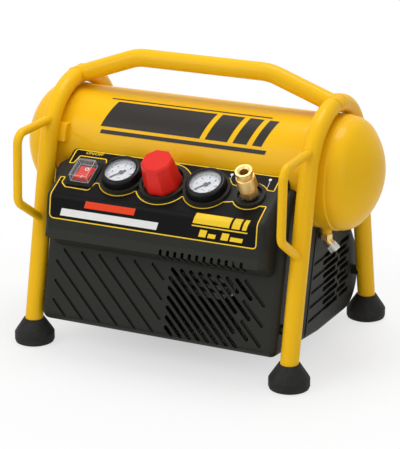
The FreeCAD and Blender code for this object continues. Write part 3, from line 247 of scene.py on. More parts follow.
# the front face's plane meets the ground here, and the skin of the covers' sides is here
FRONT_AT = min(p.y - FRONT_LEAN * p.z for p in points_of("front_cover") if p.z < 100 * MM)
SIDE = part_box("front_cover")[1].x
GROOVES_TOP = 126 * MM
GROOVES_END = 8 * MM                  # farthest in from the skin that is darkened
FRONT_HALF, FRONT_LOW = 141 * MM, 43 * MM
SIDE_BACK, SIDE_LOW = 75 * MM, 36 * MM
BEHIND_SEAM = -41.6 * MM              # start of the side grooves, at ground level
LIP_Y, LIP_Z = -140.6 * MM, 146.5 * MM                           # foremost edge of the console's lip
GILLS_BACK = -110 * MM
GILLS_X, GILLS_Z = (11 * MM, 119.5 * MM), (125 * MM, 153.5 * MM)


def yellow_paint(colour):
    """Powder coat with faint orange peel and a slow drift of shade; the stubs on the legs beside the housing are
    painted black as shade.
    """
    paint = finish("yellow_paint", Coat_Weight=0.12, Coat_Roughness=0.09, Specular_IOR_Level=0.08)
    drift = paint.speckle(9.0, 3.0)
    colours = paint.mix(drift, shade(colour, 0.93), shade(colour, 1.05))
    x, y, z = paint.axes()
    beside = abs(x) - LEG_X
    back = (abs(y - TANK_Y) + LEG_SPLAY * z - LEG_FOOT_Y) * LEG_TILT
    stub_shade = (beside * beside + back * back > STUB_SHADE_R ** 2) * z.between(STUB_SHADE_LOW, STUB_SHADE_HIGH)
    # painted shade: black on the stubs beside the housing
    paint.feed("Base Color", paint.mix(stub_shade, colours, STUB_SHADE_BLACK))
    paint.feed("Roughness", 0.34 + 0.1 * paint.speckle(60.0, 3.0))
    paint.bump(paint.speckle(420.0, 1.0) + 0.3 * paint.speckle(1800.0, 1.0), 0.00006)


def sunk(depth):
    """1 from half a millimetre inside a skin to the grooves' floor, else 0."""
    return depth.past(0.5 * MM, 0.6 * MM) * (depth < GROOVES_END)


def hollows(plastic):
    """Painted shade: 1 down in the covers' grooves, slots and gills, else 0."""
    x, y, z = plastic.axes()
    across = abs(x)
    front = sunk(y - FRONT_LEAN * z - FRONT_AT) * (across < FRONT_HALF)
    front *= z.between(FRONT_LOW, GROOVES_TOP)
    side = sunk(SIDE - across) * (y - SEAM_LEAN * z > BEHIND_SEAM) * (y < SIDE_BACK)
    side *= z.between(SIDE_LOW, GROOVES_TOP)
    above = (y - LIP_Y) * 0.52 + (z - LIP_Z) * 0.85      # depth from the lip's slanted underside
    behind = y - LIP_FLARE * (z - LIP_Z) - LIP_Y
    gills = above.sum("MINIMUM", above, behind).past(0.4 * MM, 0.5 * MM) * (y < GILLS_BACK)
    gills *= x.between(*GILLS_X) * z.between(*GILLS_Z)
    return (front + side + gills).clamped()


def moulded_plastic(colour):
    """Charcoal housing: spark-eroded grain, slow colour drift, and painted shade in its hollows."""
    plastic = finish("charcoal_plastic", Specular_IOR_Level=0.18)
    grain = plastic.speckle(1500.0, 3.0, 0.65)
    drift = plastic.speckle(14.0, 4.0)
    colours = plastic.mix(0.6 * drift + 0.4 * grain, shade(colour, 0.78), shade(colour, 1.25))
    # painted shade: the covers' grooves, slots and gills are coloured near black
    plastic.feed("Base Color", plastic.mix(hollows(plastic), colours, shade(colour, 0.12)))
    plastic.feed("Roughness", 0.46 + 0.16 * grain)
    plastic.bump(grain + 0.4 * plastic.speckle(3600.0, 2.0), 0.00012)


def gloss_plastic(name, colour, roughness, gloss):
    """Smooth moulding with a faint flow texture."""
    plastic = finish(name, Coat_Weight=0.4 * gloss, Coat_Roughness=0.06, Specular_IOR_Level=gloss)
    drift = plastic.speckle(30.0, 3.0)
    plastic.feed("Base Color", plastic.mix(drift, shade(colour, 0.88), shade(colour, 1.1)))
    plastic.feed("Roughness", roughness + 0.08 * plastic.speckle(240.0, 3.0))
    plastic.bump(plastic.speckle(600.0, 2.0), 0.00002)


def rubber(name, colour):
    """Matt rubber with grain and pale dust."""
    stuff = finish(name, Specular_IOR_Level=0.25)
    dusty = (stuff.speckle(45.0, 5.0, 0.7) - 0.45).clamped()
    stuff.feed("Base Color", stuff.mix(dusty, shade(colour, 1.0), DUST))
    stuff.feed("Roughness", 0.62 + 0.2 * stuff.speckle(300.0, 3.0))
    stuff.bump(stuff.speckle(1300.0, 3.0), 0.00012)


def metal(name, colour, roughness, turned=0.0, cast=0.0):
    """Machined, rolled or cast metal: tarnish drift, fine lines or a sand grain."""
    made = finish(name, Metallic=1.0)
    tarnish = made.speckle(55.0, 5.0, 0.6)
    made.feed("Base Color", made.mix(tarnish, shade(colour, 0.8), shade(colour, 1.12)))
    made.feed("Roughness", roughness + 0.14 * made.speckle(180.0, 4.0))
    if turned:
        made.bump(made.speckle(700.0, 2.0, 0.5, (0.15, 1, 1)), turned)
    if cast:
        made.bump(made.speckle(900.0, 4.0, 0.7), cast)


def clear_plastic(name, colour, alpha, roughness):
    """See-through moulding with faint haze."""
    clear = finish(name, Alpha=alpha, Base_Color=shade(colour, 1.0), Specular_IOR_Level=0.3)
    clear.feed("Roughness", roughness + 0.05 * clear.speckle(90.0, 2.0))


def print_ink(name, colour, roughness, gloss=0.15):
    """Printed film: flat colour with the faint mottle of ink."""
    ink = finish(name, Specular_IOR_Level=gloss)
    mottle = ink.speckle(800.0, 2.0)
    ink.feed("Base Color", ink.mix(mottle, shade(colour, 0.93), shade(colour, 1.06)))
    ink.feed("Roughness", roughness + 0.06 * ink.speckle(120.0, 3.0))


# ---- mesh helpers ------------------------------------------------------------------

CORNER_STEPS, CORNER_SHARE = 6, 0.48  # a corner's arc takes at most this share of an edge
FOLDS, FOLD_STEP = 10, 1.2 * MM       # steps of a film and of a pinstripe over the bend


def linked(name, data):
    """A new object in the scene."""
    made = bpy.data.objects.new(name, data)
    bpy.context.scene.collection.objects.link(made)
    return made


def piece(name, mesh, finish_name, body="frame"):
    """Makes a finished mesh a piece that rides on a body."""
    made = linked(name, mesh)
    mesh.materials.clear()
    mesh.materials.append(FINISHES[finish_name])
    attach(made, body)


def mesh_of(shape, name):
    """Mesh of a working shape, which is then done with."""
    mesh = bpy.data.meshes.new(name)
    shape.to_mesh(mesh)
    shape.free()
    return mesh


def evaluated(holder):
    """Plain mesh of a text or of an object with its modifiers applied."""
    bpy.context.view_layer.update()
    depsgraph = bpy.context.evaluated_depsgraph_get()
    return bpy.data.meshes.new_from_object(holder.evaluated_get(depsgraph))


def surface_of(node):
    """Search tree of a node's faces."""
    shape = bmesh.new()
    shape.from_mesh(frame["nodes"][node].data)
    tree = BVHTree.FromBMesh(shape)
    shape.free()
    return tree


def lay(verts, place):
    """Lays flat points on a surface; place gives the spot for an x and a y."""
    for vert in verts:
        vert.co = place(vert.co.x, vert.co.y)


def arc(cx, cy, radius, start, end, step=6.0):
    """Points along a circular arc, angles in degrees."""
    count = max(2, round(abs(end - start) / step))
    angles = [math.radians(start + (end - start) * i / count) for i in range(count + 1)]
    return [(cx + radius * math.cos(a), cy + radius * math.sin(a)) for a in angles]


def traced(outline):
    """Closed outline of (x, y) points, with an arc at each (x, y, radius) corner."""
    points = []
    for i, (x, y, *radius) in enumerate(outline):
        if not radius:
            points.append((x, y))
            continue
        here = Vector((x, y))
        back = Vector(outline[i - 1][:2]) - here
        on = Vector(outline[(i + 1) % len(outline)][:2]) - here
        half = back.angle(on) / 2
        reach = min(radius[0] / math.tan(half), CORNER_SHARE * back.length, CORNER_SHARE * on.length)
        size = reach * math.tan(half)
        back, on = back.normalized(), on.normalized()
        centre = here + (back + on).normalized() * size / math.sin(half)
        first, last = here + back * reach - centre, here + on * reach - centre
        for step in range(CORNER_STEPS + 1):
            spoke = first.lerp(last, step / CORNER_STEPS).normalized() * size
            points.append(tuple(centre + spoke))
    return points


def in_metres(*corners):
    """Corners given in millimetres."""
    return [tuple(value * MM for value in corner) for corner in corners]


def slanted_bar(x0, x1, low, high, slant):
    """Bar with leaning ends, given in millimetres."""
    lean = (high - low) * slant
    return in_metres((x0, low), (x1, low), (x1 + lean, high), (x0 + lean, high))


def filled(outline):
    """Flat shape with one face, turned up."""
    shape = bmesh.new()
    face = shape.faces.new([shape.verts.new((x, y, 0)) for x, y in outline])
    face.normal_update()
    if face.normal.z < 0:
        face.normal_flip()
    return shape


def cut_rows(shape, heights):
    """Cuts a flat shape at each height, so that it can bend there."""
    for height in heights:
        bmesh.ops.bisect_plane(shape, geom=shape.verts[:] + shape.edges[:] + shape.faces[:],
                               plane_co=(0, height, 0), plane_no=(0, 1, 0))


def flat_print(name, outline, lift, finish_name):
    """Printed film on the console: a filled outline of (x, t), folded over the bend."""
    shape = filled(outline)
    bmesh.ops.triangulate(shape, faces=shape.faces[:])
    cut_rows(shape, [BEND_REACH * (2 * i / FOLDS - 1) for i in range(FOLDS + 1)])
    bmesh.ops.triangulate(shape, faces=shape.faces[:])
    lay(shape.verts, lambda x, t: on_fold(x, t, lift))
    piece(name, mesh_of(shape, name), finish_name)


def pinstripe(name, outline, width, lift):
    """Narrow printed line of even width along a closed outline of (x, t)."""
    points = []
    for (x, t), (next_x, next_t) in zip(outline, outline[1:] + outline[:1]):
        points.append((x, t))
        if min(t, next_t) < BEND_REACH and max(t, next_t) > -BEND_REACH:
            steps = max(1, round(abs(next_t - t) / FOLD_STEP))
            points += [(x + (next_x - x) * k / steps, t + (next_t - t) * k / steps)
                       for k in range(1, steps)]
    count = len(points)
    verts, faces = [], []
    for i, (x, t) in enumerate(points):
        before, after = points[i - 1], points[(i + 1) % count]
        along = Vector((after[0] - before[0], after[1] - before[1])).normalized()
        side = Vector((-along.y, along.x)) * width / 2
        verts.append(on_fold(x + side.x, t + side.y, lift))
        verts.append(on_fold(x - side.x, t - side.y, lift))
        here, there = 2 * i, 2 * ((i + 1) % count)
        faces.append((here, here + 1, there + 1, there))
    mesh = bpy.data.meshes.new(name)
    mesh.from_pydata(verts, [], faces)
    mesh.update()
    if sum(face.normal.dot(OUT) * face.area for face in mesh.polygons) < 0:
        mesh.flip_normals()
    piece(name, mesh, "stripe_yellow")


def lettering(name, text, size, place, finish_name, body="frame", slant=0.0, weight=0.0):
    """Plain printed characters; place gives the spot for a flat x and y."""
    curve = bpy.data.curves.new(name, "FONT")
    curve.body = text
    curve.size = size
    curve.align_x = curve.align_y = "CENTER"
    curve.resolution_u = 3
    curve.shear = slant
    curve.offset = weight * size
    holder = linked(name, curve)
    mesh = evaluated(holder)
    bpy.data.objects.remove(holder)
    lay(mesh.vertices, place)
    mesh.update()
    piece(name, mesh, finish_name, body)


# ---- Geometry Nodes ----------------------------------------------------------------

SOCKET_KINDS = {int: "NodeSocketInt", float: "NodeSocketFloat", type(None): "NodeSocketObject"}


class Rule:
    """A Geometry Nodes tree with named inputs: whole numbers, numbers, or None for an object."""

    def __init__(self, name, **inputs):
        self.tree = bpy.data.node_groups.new(name, "GeometryNodeTree")
        interface = self.tree.interface
        interface.new_socket("Geometry", in_out="OUTPUT", socket_type="NodeSocketGeometry")
        for label, value in inputs.items():
            kind = SOCKET_KINDS[type(value)]
            socket = interface.new_socket(label, in_out="INPUT", socket_type=kind)
            if value is not None:
                socket.default_value = value
        self.given = self.tree.nodes.new("NodeGroupInput").outputs
        self.result = self.tree.nodes.new("NodeGroupOutput").inputs[0]

    def add(self, kind, output=0, **inputs):
        """Adds a node and gives its output. A lower-case name is a setting, and others are sockets."""
        made = self.tree.nodes.new(kind)
        for key, value in inputs.items():
            if key.islower():
                setattr(made, key, value)
            else:
                self.put(made.inputs[key.replace("_", " ")], value)
        return made.outputs[output]

    def put(self, socket, value):
        if hasattr(value, "is_linked"):
            self.tree.links.new(value, socket)
        else:
            socket.default_value = value

    def maths(self, operation, *values):
        made = self.tree.nodes.new("ShaderNodeMath")
        made.operation = operation
        for socket, value in zip(made.inputs, values):
            self.put(socket, value)
        return made.outputs[0]

    def finish(self, geometry, finish_name):
        """Ends the tree in plain geometry with a finish."""
        real = self.add("GeometryNodeRealizeInstances", Geometry=geometry)
        painted = self.add("GeometryNodeSetMaterial", Geometry=real, Material=FINISHES[finish_name])
        self.put(self.result, painted)

    def bake(self, name, **values):
        """Runs the tree with the values and returns a plain mesh."""
        holder = linked(name + "_rule", bpy.data.meshes.new(name + "_rule"))
        modifier = holder.modifiers.new("rule", "NODES")
        modifier.node_group = self.tree
        for item in self.tree.interface.items_tree:
            if item.in_out == "INPUT" and item.name in values:
                modifier[item.identifier] = values[item.name]
        mesh = evaluated(holder)
        holder.modifiers.remove(modifier)
        bpy.data.objects.remove(holder)
        return mesh


def dial_tick_rule():
    """Radial ticks, evenly spread over part of a circle."""
    rule = Rule("dial_ticks", Count=26, Radius=0.016, Length=0.002, Width=0.0003, Start=0.0, Sweep=4.7)
    given = rule.given
    line = rule.add("GeometryNodeMeshLine", mode="OFFSET", Count=given["Count"])
    index = rule.add("GeometryNodeInputIndex")
    share = rule.maths("DIVIDE", index, rule.maths("SUBTRACT", given["Count"], 1.0))
    angle = rule.maths("SUBTRACT", given["Start"], rule.maths("MULTIPLY", share, given["Sweep"]))
    x, y = (rule.maths("MULTIPLY", rule.maths(wave, angle), given["Radius"]) for wave in ("COSINE", "SINE"))
    spot = rule.add("ShaderNodeCombineXYZ", X=x, Y=y)
    placed = rule.add("GeometryNodeSetPosition", Geometry=line, Position=spot)
    tick = rule.add("GeometryNodeMeshGrid", Size_X=given["Length"], Size_Y=given["Width"],
                    Vertices_X=2, Vertices_Y=2)
    turn = rule.add("ShaderNodeCombineXYZ", Z=angle)
    copies = rule.add("GeometryNodeInstanceOnPoints", Points=placed, Instance=tick, Rotation=turn)
    rule.finish(copies, "dial_ink")
    return rule


def knurl_rule():
    """Raised ribs round a short cylinder, lying along Z."""
    rule = Rule("knurl", Count=36, Radius=0.0075, Length=0.007, Rib=0.0006)
    given = rule.given
    circle = rule.add("GeometryNodeMeshCircle", Vertices=given["Count"], Radius=given["Radius"])
    rib = rule.add("GeometryNodeMeshCylinder", Vertices=6, Radius=given["Rib"], Depth=given["Length"])
    rule.finish(rule.add("GeometryNodeInstanceOnPoints", Points=circle, Instance=rib), "bright_steel")
    return rule


def edge_rule():
    """Thin bars along an object's sharp edges, finished as a painted highlight."""
    rule = Rule("bright_edges", Object=None, Radius=0.0002)
    given = rule.given
    source = rule.add("GeometryNodeObjectInfo", "Geometry", transform_space="ORIGINAL",
                      Object=given["Object"])
    joined = rule.add("GeometryNodeMergeByDistance", Geometry=source, Distance=0.00001)
    angle = rule.add("GeometryNodeInputMeshEdgeAngle")
    lines = rule.add("GeometryNodeMeshToCurve", Mesh=joined,
                     Selection=rule.maths("GREATER_THAN", angle, 0.6))
    ring = rule.add("GeometryNodeCurvePrimitiveCircle", mode="RADIUS", Resolution=6,
                    Radius=given["Radius"])
    rule.finish(rule.add("GeometryNodeCurveToMesh", Curve=lines, Profile_Curve=ring), "clear_edge")
    return rule


def weld_rule():
    """Rippled weld bead along a closed curve given as an object."""
    rule = Rule("weld_bead", Path=None, Bead=0.0016, Ripple=0.00035, Pitch=0.0017)
    given = rule.given
    path = rule.add("GeometryNodeObjectInfo", "Geometry", transform_space="ORIGINAL",
                    Object=given["Path"])
    even = rule.add("GeometryNodeResampleCurve", mode="LENGTH", Curve=path,
                    Length=rule.maths("DIVIDE", given["Pitch"], 4.0))
    along = rule.add("GeometryNodeSplineParameter", "Length")
    phase = rule.maths("MULTIPLY", rule.maths("DIVIDE", along, given["Pitch"]), 2 * math.pi)
    swell = rule.maths("MULTIPLY", rule.maths("SINE", phase), given["Ripple"])
    ring = rule.add("GeometryNodeCurvePrimitiveCircle", mode="RADIUS", Resolution=8, Radius=1.0)
    bead = rule.add("GeometryNodeCurveToMesh", Curve=even, Profile_Curve=ring,
                    Scale=rule.maths("ADD", given["Bead"], swell))
    rule.finish(rule.add("GeometryNodeSetShadeSmooth", Geometry=bead), "yellow_paint")
    return rule


# ---- printed panel -----------------------------------------------------------------

CUSP_R = 2.5 * MM
GAUGE_RING, KNOB_RING, COUPLER_RING = 29.5 * MM, 33.8 * MM, 21.0 * MM
POINTER_TOP, POINTER_DOT_R = 70.5 * MM, 1.9 * MM
SWITCH_TEXT_AT = (-110 * MM, 73.2 * MM)


def meeting(x0, r0, x1, r1):
    """Angles, in degrees, where two circles on one line cross below it, from each centre."""
    gap = x1 - x0
    along = (gap * gap + r0 * r0 - r1 * r1) / (2 * gap)
    down = math.sqrt(r0 * r0 - along * along)
    return -math.degrees(math.atan2(down, along)), -math.degrees(math.atan2(down, along - gap))


def row_of_arcs(side):
    """Scalloped line under (side -1) or over (side 1) the gauges, the knob and the coupler."""
    left, right = GAUGE_X
    knob = KNOB_AT.x
    left_end, knob_start = meeting(left, GAUGE_RING, knob, KNOB_RING)
    knob_end, right_start = meeting(knob, KNOB_RING, right, GAUGE_RING)
    turns, trim = -side, 9            # each arc stops this many degrees before a cusp

    def cusp(x, ring, angle):
        turn = math.radians(turns * angle)
        return x + ring * math.cos(turn), ROW + ring * math.sin(turn), CUSP_R

    line = arc(left, ROW, GAUGE_RING, turns * -152, turns * (left_end - trim))
    line.append(cusp(left, GAUGE_RING, left_end))
    line += arc(knob, ROW, KNOB_RING, turns * (knob_start + trim), turns * (knob_end - trim))
    line.append(cusp(knob, KNOB_RING, knob_end))
    line += arc(right, ROW, GAUGE_RING, turns * (right_start + trim), turns * -30)
    line += arc(COUPLER_X, ROW, COUPLER_RING, turns * -146, turns * -38)
    return line


def lower_film_outline():
    """Lower film, from its left tab along the scallops and round the title face."""
    tab = in_metres((-135.5, 29.4, 1), (-130, 30, 1), (-130.5, 21, 5), (-123, 14.5, 4), (-91.5, 14, 3),
                    (-88, 27, 2))
    foot = in_metres((132.6, 28.7, 1), (132.6, -28.3, 4), (-136, -28.3, 5))
    return traced(tab + row_of_arcs(-1) + foot)


def upper_film_outline():
    """Upper film, from its left foot over the scallops to its right foot and back along the top."""
    tab = in_metres((-135.4, 53.5, 1), (-130, 54.4, 1), (-127, 67.2, 3), (-91, 67.0, 3), (-87, 57, 1))
    foot = in_metres((132.6, 53.7, 1), (132.6, 77, 3), (-136, 77, 3))
    return traced(tab + row_of_arcs(1) + foot)


class PrintSettings(bpy.types.PropertyGroup):
    stripe_width: bpy.props.FloatProperty(
        name="Pinstripe width", description="Width of the yellow line round the films",
        default=1.4 * MM, unit="LENGTH")
    film_lift: bpy.props.FloatProperty(
        name="Film thickness", description="How far the printed film stands off the housing",
        default=0.12 * MM, unit="LENGTH")
    slant: bpy.props.FloatProperty(
        name="Bar slant", description="Lean of the printed bars' ends", default=0.27)
    text_size: bpy.props.FloatProperty(
        name="Switch text size", description="Height of the switch's ON/OFF text",
        default=6.4 * MM, unit="LENGTH")


class COMPRESSOR_OT_printed_panel(bpy.types.Operator):
    """Lays the two black films, their pinstripes and the printed bars on the console"""
    bl_idname = "compressor.printed_panel"
    bl_label = "Printed panel"

    def execute(self, context):
        prints = context.scene.compressor_print
        lift = prints.film_lift
        ink_lift = 1.8 * lift
        for name, outline in (("lower_film", lower_film_outline()), ("upper_film", upper_film_outline())):
            flat_print(name, outline, lift, "film_black")
            pinstripe(name + "_pinstripe", outline, prints.stripe_width, 1.5 * lift)
        bars = {"print_red": [("title_bar_red", -90, -24, -11, -2.5)],
                "print_white": [("title_bar_white", -122, 6, -24, -15)],
                "stripe_yellow": [("badge_long", 52, 98, -9, 4.5), ("badge_second", 101, 111, -9, 4.5),
                                  ("badge_third", 114, 119.5, -9, 4.5), ("badge_line", 51, 121, -12.5, -11),
                                  ("rating_block_left", 60, 69, -24, -15.5),
                                  ("rating_bar_left", 71.5, 81, -24, -19),
                                  ("rating_block_right", 88, 97, -24, -15.5),
                                  ("rating_bar_right", 99.5, 115, -24, -19)]}
        for ink, shapes in bars.items():
            for name, *edges in shapes:
                flat_print(name, slanted_bar(*edges, prints.slant), ink_lift, ink)
        for name, x, s in (("pointer_left", 73, 63), ("pointer_right", 121.7, 57)):
            dot = arc(x * MM, POINTER_TOP, POINTER_DOT_R, 0, 348, 12)
            flat_print(name + "_dot", dot, ink_lift, "print_white")
            stem = in_metres((x, 70), (x + 1, s), (x + 1.6, s), (x + 0.7, 70))
            flat_print(name + "_stem", stem, ink_lift, "print_white")
        text_x, text_t = SWITCH_TEXT_AT
        lettering("switch_text", "ON/OFF", prints.text_size,
                  lambda x, y: on_fold(text_x + x, text_t + y, ink_lift), "stripe_yellow",
                  slant=0.15, weight=0.012)
        return {"FINISHED"}


# ---- gauges ------------------------------------------------------------------------

INK_LIFT = 0.03 * MM                  # ink over the dial
NUMBERS_IN = 4.4 * MM                 # from the long ticks' middle in to the numbers
UNIT_DROP, UNIT_SIZE = 8.5 * MM, 3.4 * MM


class DialSettings(bpy.types.PropertyGroup):
    scale_radius: bpy.props.FloatProperty(
        name="Scale radius", description="Middle of the long ticks", default=16.6 * MM, unit="LENGTH")
    top_number: bpy.props.IntProperty(
        name="Top number", description="Highest number on the dial", default=12)
    number_size: bpy.props.FloatProperty(
        name="Number size", description="Height of the numbers", default=4.4 * MM, unit="LENGTH")
    sweep: bpy.props.FloatProperty(
        name="Scale sweep", description="Angle from the lowest number to the highest",
        default=math.radians(270), subtype="ANGLE")


def height_over_face(node):
    """Highest point of a node over the control face."""
    return max((p - BEND).dot(OUT) for p in points_of(node))


def rest_angle(needle, hinge):
    """Direction in which a needle's tip points at rest, from ACROSS towards UP_FACE."""
    spokes = [p - hinge for p in points_of(needle)]
    tip = max(spokes, key=lambda spoke: spoke.cross(OUT).length)
    return math.atan2(tip.dot(UP_FACE), tip.dot(ACROSS))


class COMPRESSOR_OT_dials(bpy.types.Operator):
    """Prints the ticks and numbers of the two pressure gauges"""
    bl_idname = "compressor.dials"
    bl_label = "Gauge dials"

    def execute(self, context):
        dials = context.scene.compressor_dials
        rule = dial_tick_rule()
        for side, centre_x in zip(("tank", "outlet"), GAUGE_X):
            hinge = Vector(JOINTS[side + "_gauge_needle_hinge"]["pos_m"])
            start = rest_angle(side + "_gauge_needle", hinge)
            height = height_over_face(side + "_gauge_dial") + INK_LIFT
            self.ticks(rule, dials, side, centre_x, start, height)
            for number in range(0, dials.top_number + 1, 2):
                angle = start - dials.sweep * number / dials.top_number
                reach = dials.scale_radius - NUMBERS_IN
                x, s = centre_x + reach * math.cos(angle), ROW + reach * math.sin(angle)
                lettering(f"{side}_number_{number}", str(number), dials.number_size,
                          lambda u, v: on_face(x + u, s + v, height), "dial_ink", weight=0.02)
            lettering(side + "_unit", "bar", UNIT_SIZE,
                      lambda u, v: on_face(centre_x + u, ROW - UNIT_DROP + v, height), "dial_ink")
        return {"FINISHED"}

    def ticks(self, rule, dials, side, centre_x, start, height):
        """Three rings of ticks: a name, how many, and their radius, length and width."""
        rings = (("major", dials.top_number + 1, dials.scale_radius, 2.6 * MM, 0.55 * MM),
                 ("minor", dials.top_number * 5 + 1, dials.scale_radius + 0.5 * MM, 1.5 * MM, 0.22 * MM),
                 ("inner", 33, dials.scale_radius - 7.4 * MM, 1.0 * MM, 0.2 * MM))
        for label, count, radius, length, width in rings:
            mesh = rule.bake(side + label, Count=count, Radius=radius, Length=length, Width=width,
                             Start=start, Sweep=dials.sweep)
            lay(mesh.vertices, lambda u, v: on_face(centre_x + u, ROW + v, height))
            piece(f"{side}_{label}_ticks", mesh, "dial_ink")


# ---- switch ------------------------------------------------------------------------

MARK_SIZE, MARK_RISE, MARK_LIFT = 7 * MM, 7.5 * MM, 0.05 * MM


def dropped(surface, x, s):
    """Point just over a surface, straight below a place over the control face."""
    hit = surface.ray_cast(on_face(x, s, 40 * MM), -OUT)[0]
    if hit is None:
        raise RuntimeError("a switch mark misses the rocker")
    return hit + OUT * MARK_LIFT


class COMPRESSOR_OT_switch_marks(bpy.types.Operator):
    """Prints the white I and O on the switch rocker"""
    bl_idname = "compressor.switch_marks"
    bl_label = "Switch marks"

    def execute(self, context):
        surface = surface_of("switch_rocker")
        for name, text, rise in (("rocker_mark_on", "I", -MARK_RISE), ("rocker_mark_off", "O", MARK_RISE)):
            lettering(name, text, MARK_SIZE,
                      lambda u, v: dropped(surface, SWITCH_X + u, SWITCH_ROW + rise + v),
                      "print_white", "rocker", weight=0.03)
        return {"FINISHED"}


class COMPRESSOR_OT_cover_edges(bpy.types.Operator):
    """Lays a painted highlight, pale bars, along the edges of the clear switch cover"""
    bl_idname = "compressor.cover_edges"
    bl_label = "Switch cover edges"

    def execute(self, context):
        mesh = edge_rule().bake("cover_edges", Object=frame["nodes"]["switch_splash_cover"],
                                Radius=context.scene.compressor_trim.edge_radius)
        piece("splash_cover_edges", mesh, "clear_edge")
        return {"FINISHED"}


# ---- welds and knurls --------------------------------------------------------------

LOOP_FALL = math.radians(33.5)        # slope of the guard loops' lower arms
HANDLE_NEAR, HANDLE_START = 40 * MM, 45 * MM      # along the handle, from a hoop's top
HANDLE_SHARE = 0.97                   # of the tube's radius, so that the whole line meets the hoop
LOOP_NEAR, LOOP_START, LOOP_RUN = 12 * MM, 20 * MM, 30 * MM
WELD_POINTS = 48
RIB_SHARE, RIB_R = 0.8, 0.16 * MM     # of the drain knob's thickness; radius of a rib


class TrimSettings(bpy.types.PropertyGroup):
    edge_radius: bpy.props.FloatProperty(
        name="Cover edges", description="Radius of the bright edges of the clear switch cover",
        default=0.22 * MM, unit="LENGTH")
    weld_bead: bpy.props.FloatProperty(
        name="Weld bead", description="Radius of the weld beads", default=0.9 * MM, unit="LENGTH")
    weld_ripple: bpy.props.FloatProperty(
        name="Weld ripple", description="Height of the ripples in a bead", default=0.2 * MM,
        unit="LENGTH")
    knurl_ribs: bpy.props.IntProperty(
        name="Knurl ribs", description="Ribs round the drain knob", default=56)


def weld_line(node, axis_point, direction, radius):
    """Closed line where a bar of the radius, coming along the direction, meets a node."""
    surface = surface_of(node)
    direction = direction.normalized()
    across = direction.orthogonal().normalized()
    beside = direction.cross(across)
    points = []
    for i in range(WELD_POINTS):
        turn = 2 * math.pi * i / WELD_POINTS
        spoke = (across * math.cos(turn) + beside * math.sin(turn)) * radius
        hit = surface.ray_cast(axis_point + spoke, direction)[0]
        if hit:
            points.append(hit)
    return points


class COMPRESSOR_OT_welds(bpy.types.Operator):
    """Runs rippled weld beads where the handle and the guard loops join the hoops"""
    bl_idname = "compressor.welds"
    bl_label = "Weld beads"

    def execute(self, context):
        trim = context.scene.compressor_trim
        rule = weld_rule()
        handle_low, handle_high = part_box("carry_handle")
        tube = (handle_high.y - handle_low.y) / 2
        for side, name in ((1, "right"), (-1, "left")):
            frame_low, frame_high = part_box(name + "_frame")
            hoop_x = side * (max(frame_high.x, -frame_low.x) - tube)
            apex = Vector((hoop_x, TANK_Y, frame_high.z - tube))
            lines = {"handle": self.handle_line(name, side, apex, tube), **self.loop_lines(name, hoop_x)}
            for label, points in lines.items():
                self.bead(rule, trim, f"{name}_{label}_weld", points)
        return {"FINISHED"}

    def handle_line(self, name, side, apex, tube):
        """The handle's slope is read from its mesh near the hoop: its lowest end and its top there."""
        near = [p for p in points_of("carry_handle") if 0 < side * (apex.x - p.x) < HANDLE_NEAR]
        top = max(near, key=lambda p: p.z)
        foot = min(near, key=lambda p: (p - apex).length)
        lean = Vector((top.x - foot.x, 0, top.z - foot.z)).normalized()
        return weld_line(name + "_frame", apex + lean * HANDLE_START, -lean, tube * HANDLE_SHARE)

    def loop_lines(self, name, hoop_x):
        """The upper arm runs level, and the lower one's place is read from the loop's low end."""
        low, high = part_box(name + "_guard_loop")
        rod = (high.x - low.x) / 2
        top = Vector((hoop_x, low.y + LOOP_RUN, high.z - rod))
        fall = Vector((0, math.cos(LOOP_FALL), -math.sin(LOOP_FALL)))
        beside = Vector((0, math.sin(LOOP_FALL), math.cos(LOOP_FALL)))
        reaches = [p.dot(beside) for p in points_of(name + "_guard_loop") if p.z < low.z + LOOP_NEAR]
        middle = (max(reaches) + min(reaches)) / 2
        start = Vector((hoop_x, 0, 0)) + beside * middle + fall * (low.dot(fall) - LOOP_START)
        return {"loop_top": weld_line(name + "_frame", top, Vector((0, 1, 0)), rod),
                "loop_low": weld_line(name + "_frame", start, fall, rod)}

    def bead(self, rule, trim, name, points):
        if len(points) < WELD_POINTS / 4:
            raise RuntimeError(f"{name}: the bar misses the hoop")
        curve = bpy.data.curves.new(name, "CURVE")
        curve.dimensions = "3D"
        spline = curve.splines.new("POLY")
        spline.points.add(len(points) - 1)
        for spot, point in zip(spline.points, points):
            spot.co = (*point, 1)
        spline.use_cyclic_u = True
        holder = linked(name + "_line", curve)
        mesh = rule.bake(name, Path=holder, Bead=trim.weld_bead, Ripple=trim.weld_ripple)
        bpy.data.objects.remove(holder)
        piece(name, mesh, "yellow_paint")


class COMPRESSOR_OT_drain_knurl(bpy.types.Operator):
    """Ribs the rim of the tank's drain knob"""
    bl_idname = "compressor.drain_knurl"
    bl_label = "Drain knob knurl"

    def execute(self, context):
        hinge = JOINTS["drain_knob_hinge"]
        axis, place = Vector(hinge["axis"]).normalized(), Vector(hinge["pos_m"])
        points = points_of("drain_valve_knob")
        along = [p.dot(axis) for p in points]
        centre = place + axis * ((max(along) + min(along)) / 2 - place.dot(axis))
        radius = max((p - centre).cross(axis).length for p in points)
        mesh = knurl_rule().bake("knurl", Count=context.scene.compressor_trim.knurl_ribs, Radius=radius,
                                 Length=RIB_SHARE * (max(along) - min(along)), Rib=RIB_R)
        mesh.transform(Matrix.Translation(centre) @ axis.to_track_quat("Z", "Y").to_matrix().to_4x4())
        piece("drain_knob_knurl", mesh, "bright_steel", "drain")
        return {"FINISHED"}


# ---- tank band ---------------------------------------------------------------------

BAND_SLANT, BAND_LIFT = 0.3, 0.12 * MM
BAND_ROWS = 12                        # steps in which a stripe follows the tank's curve


def on_tank_skin(x, a, lift):
    """Point on the tank's side: across, and round it upwards from its front."""
    angle = a / TANK_R
    radius = TANK_R + lift
    return Vector((x, TANK_Y - radius * math.cos(angle), TANK_Z + radius * math.sin(angle)))


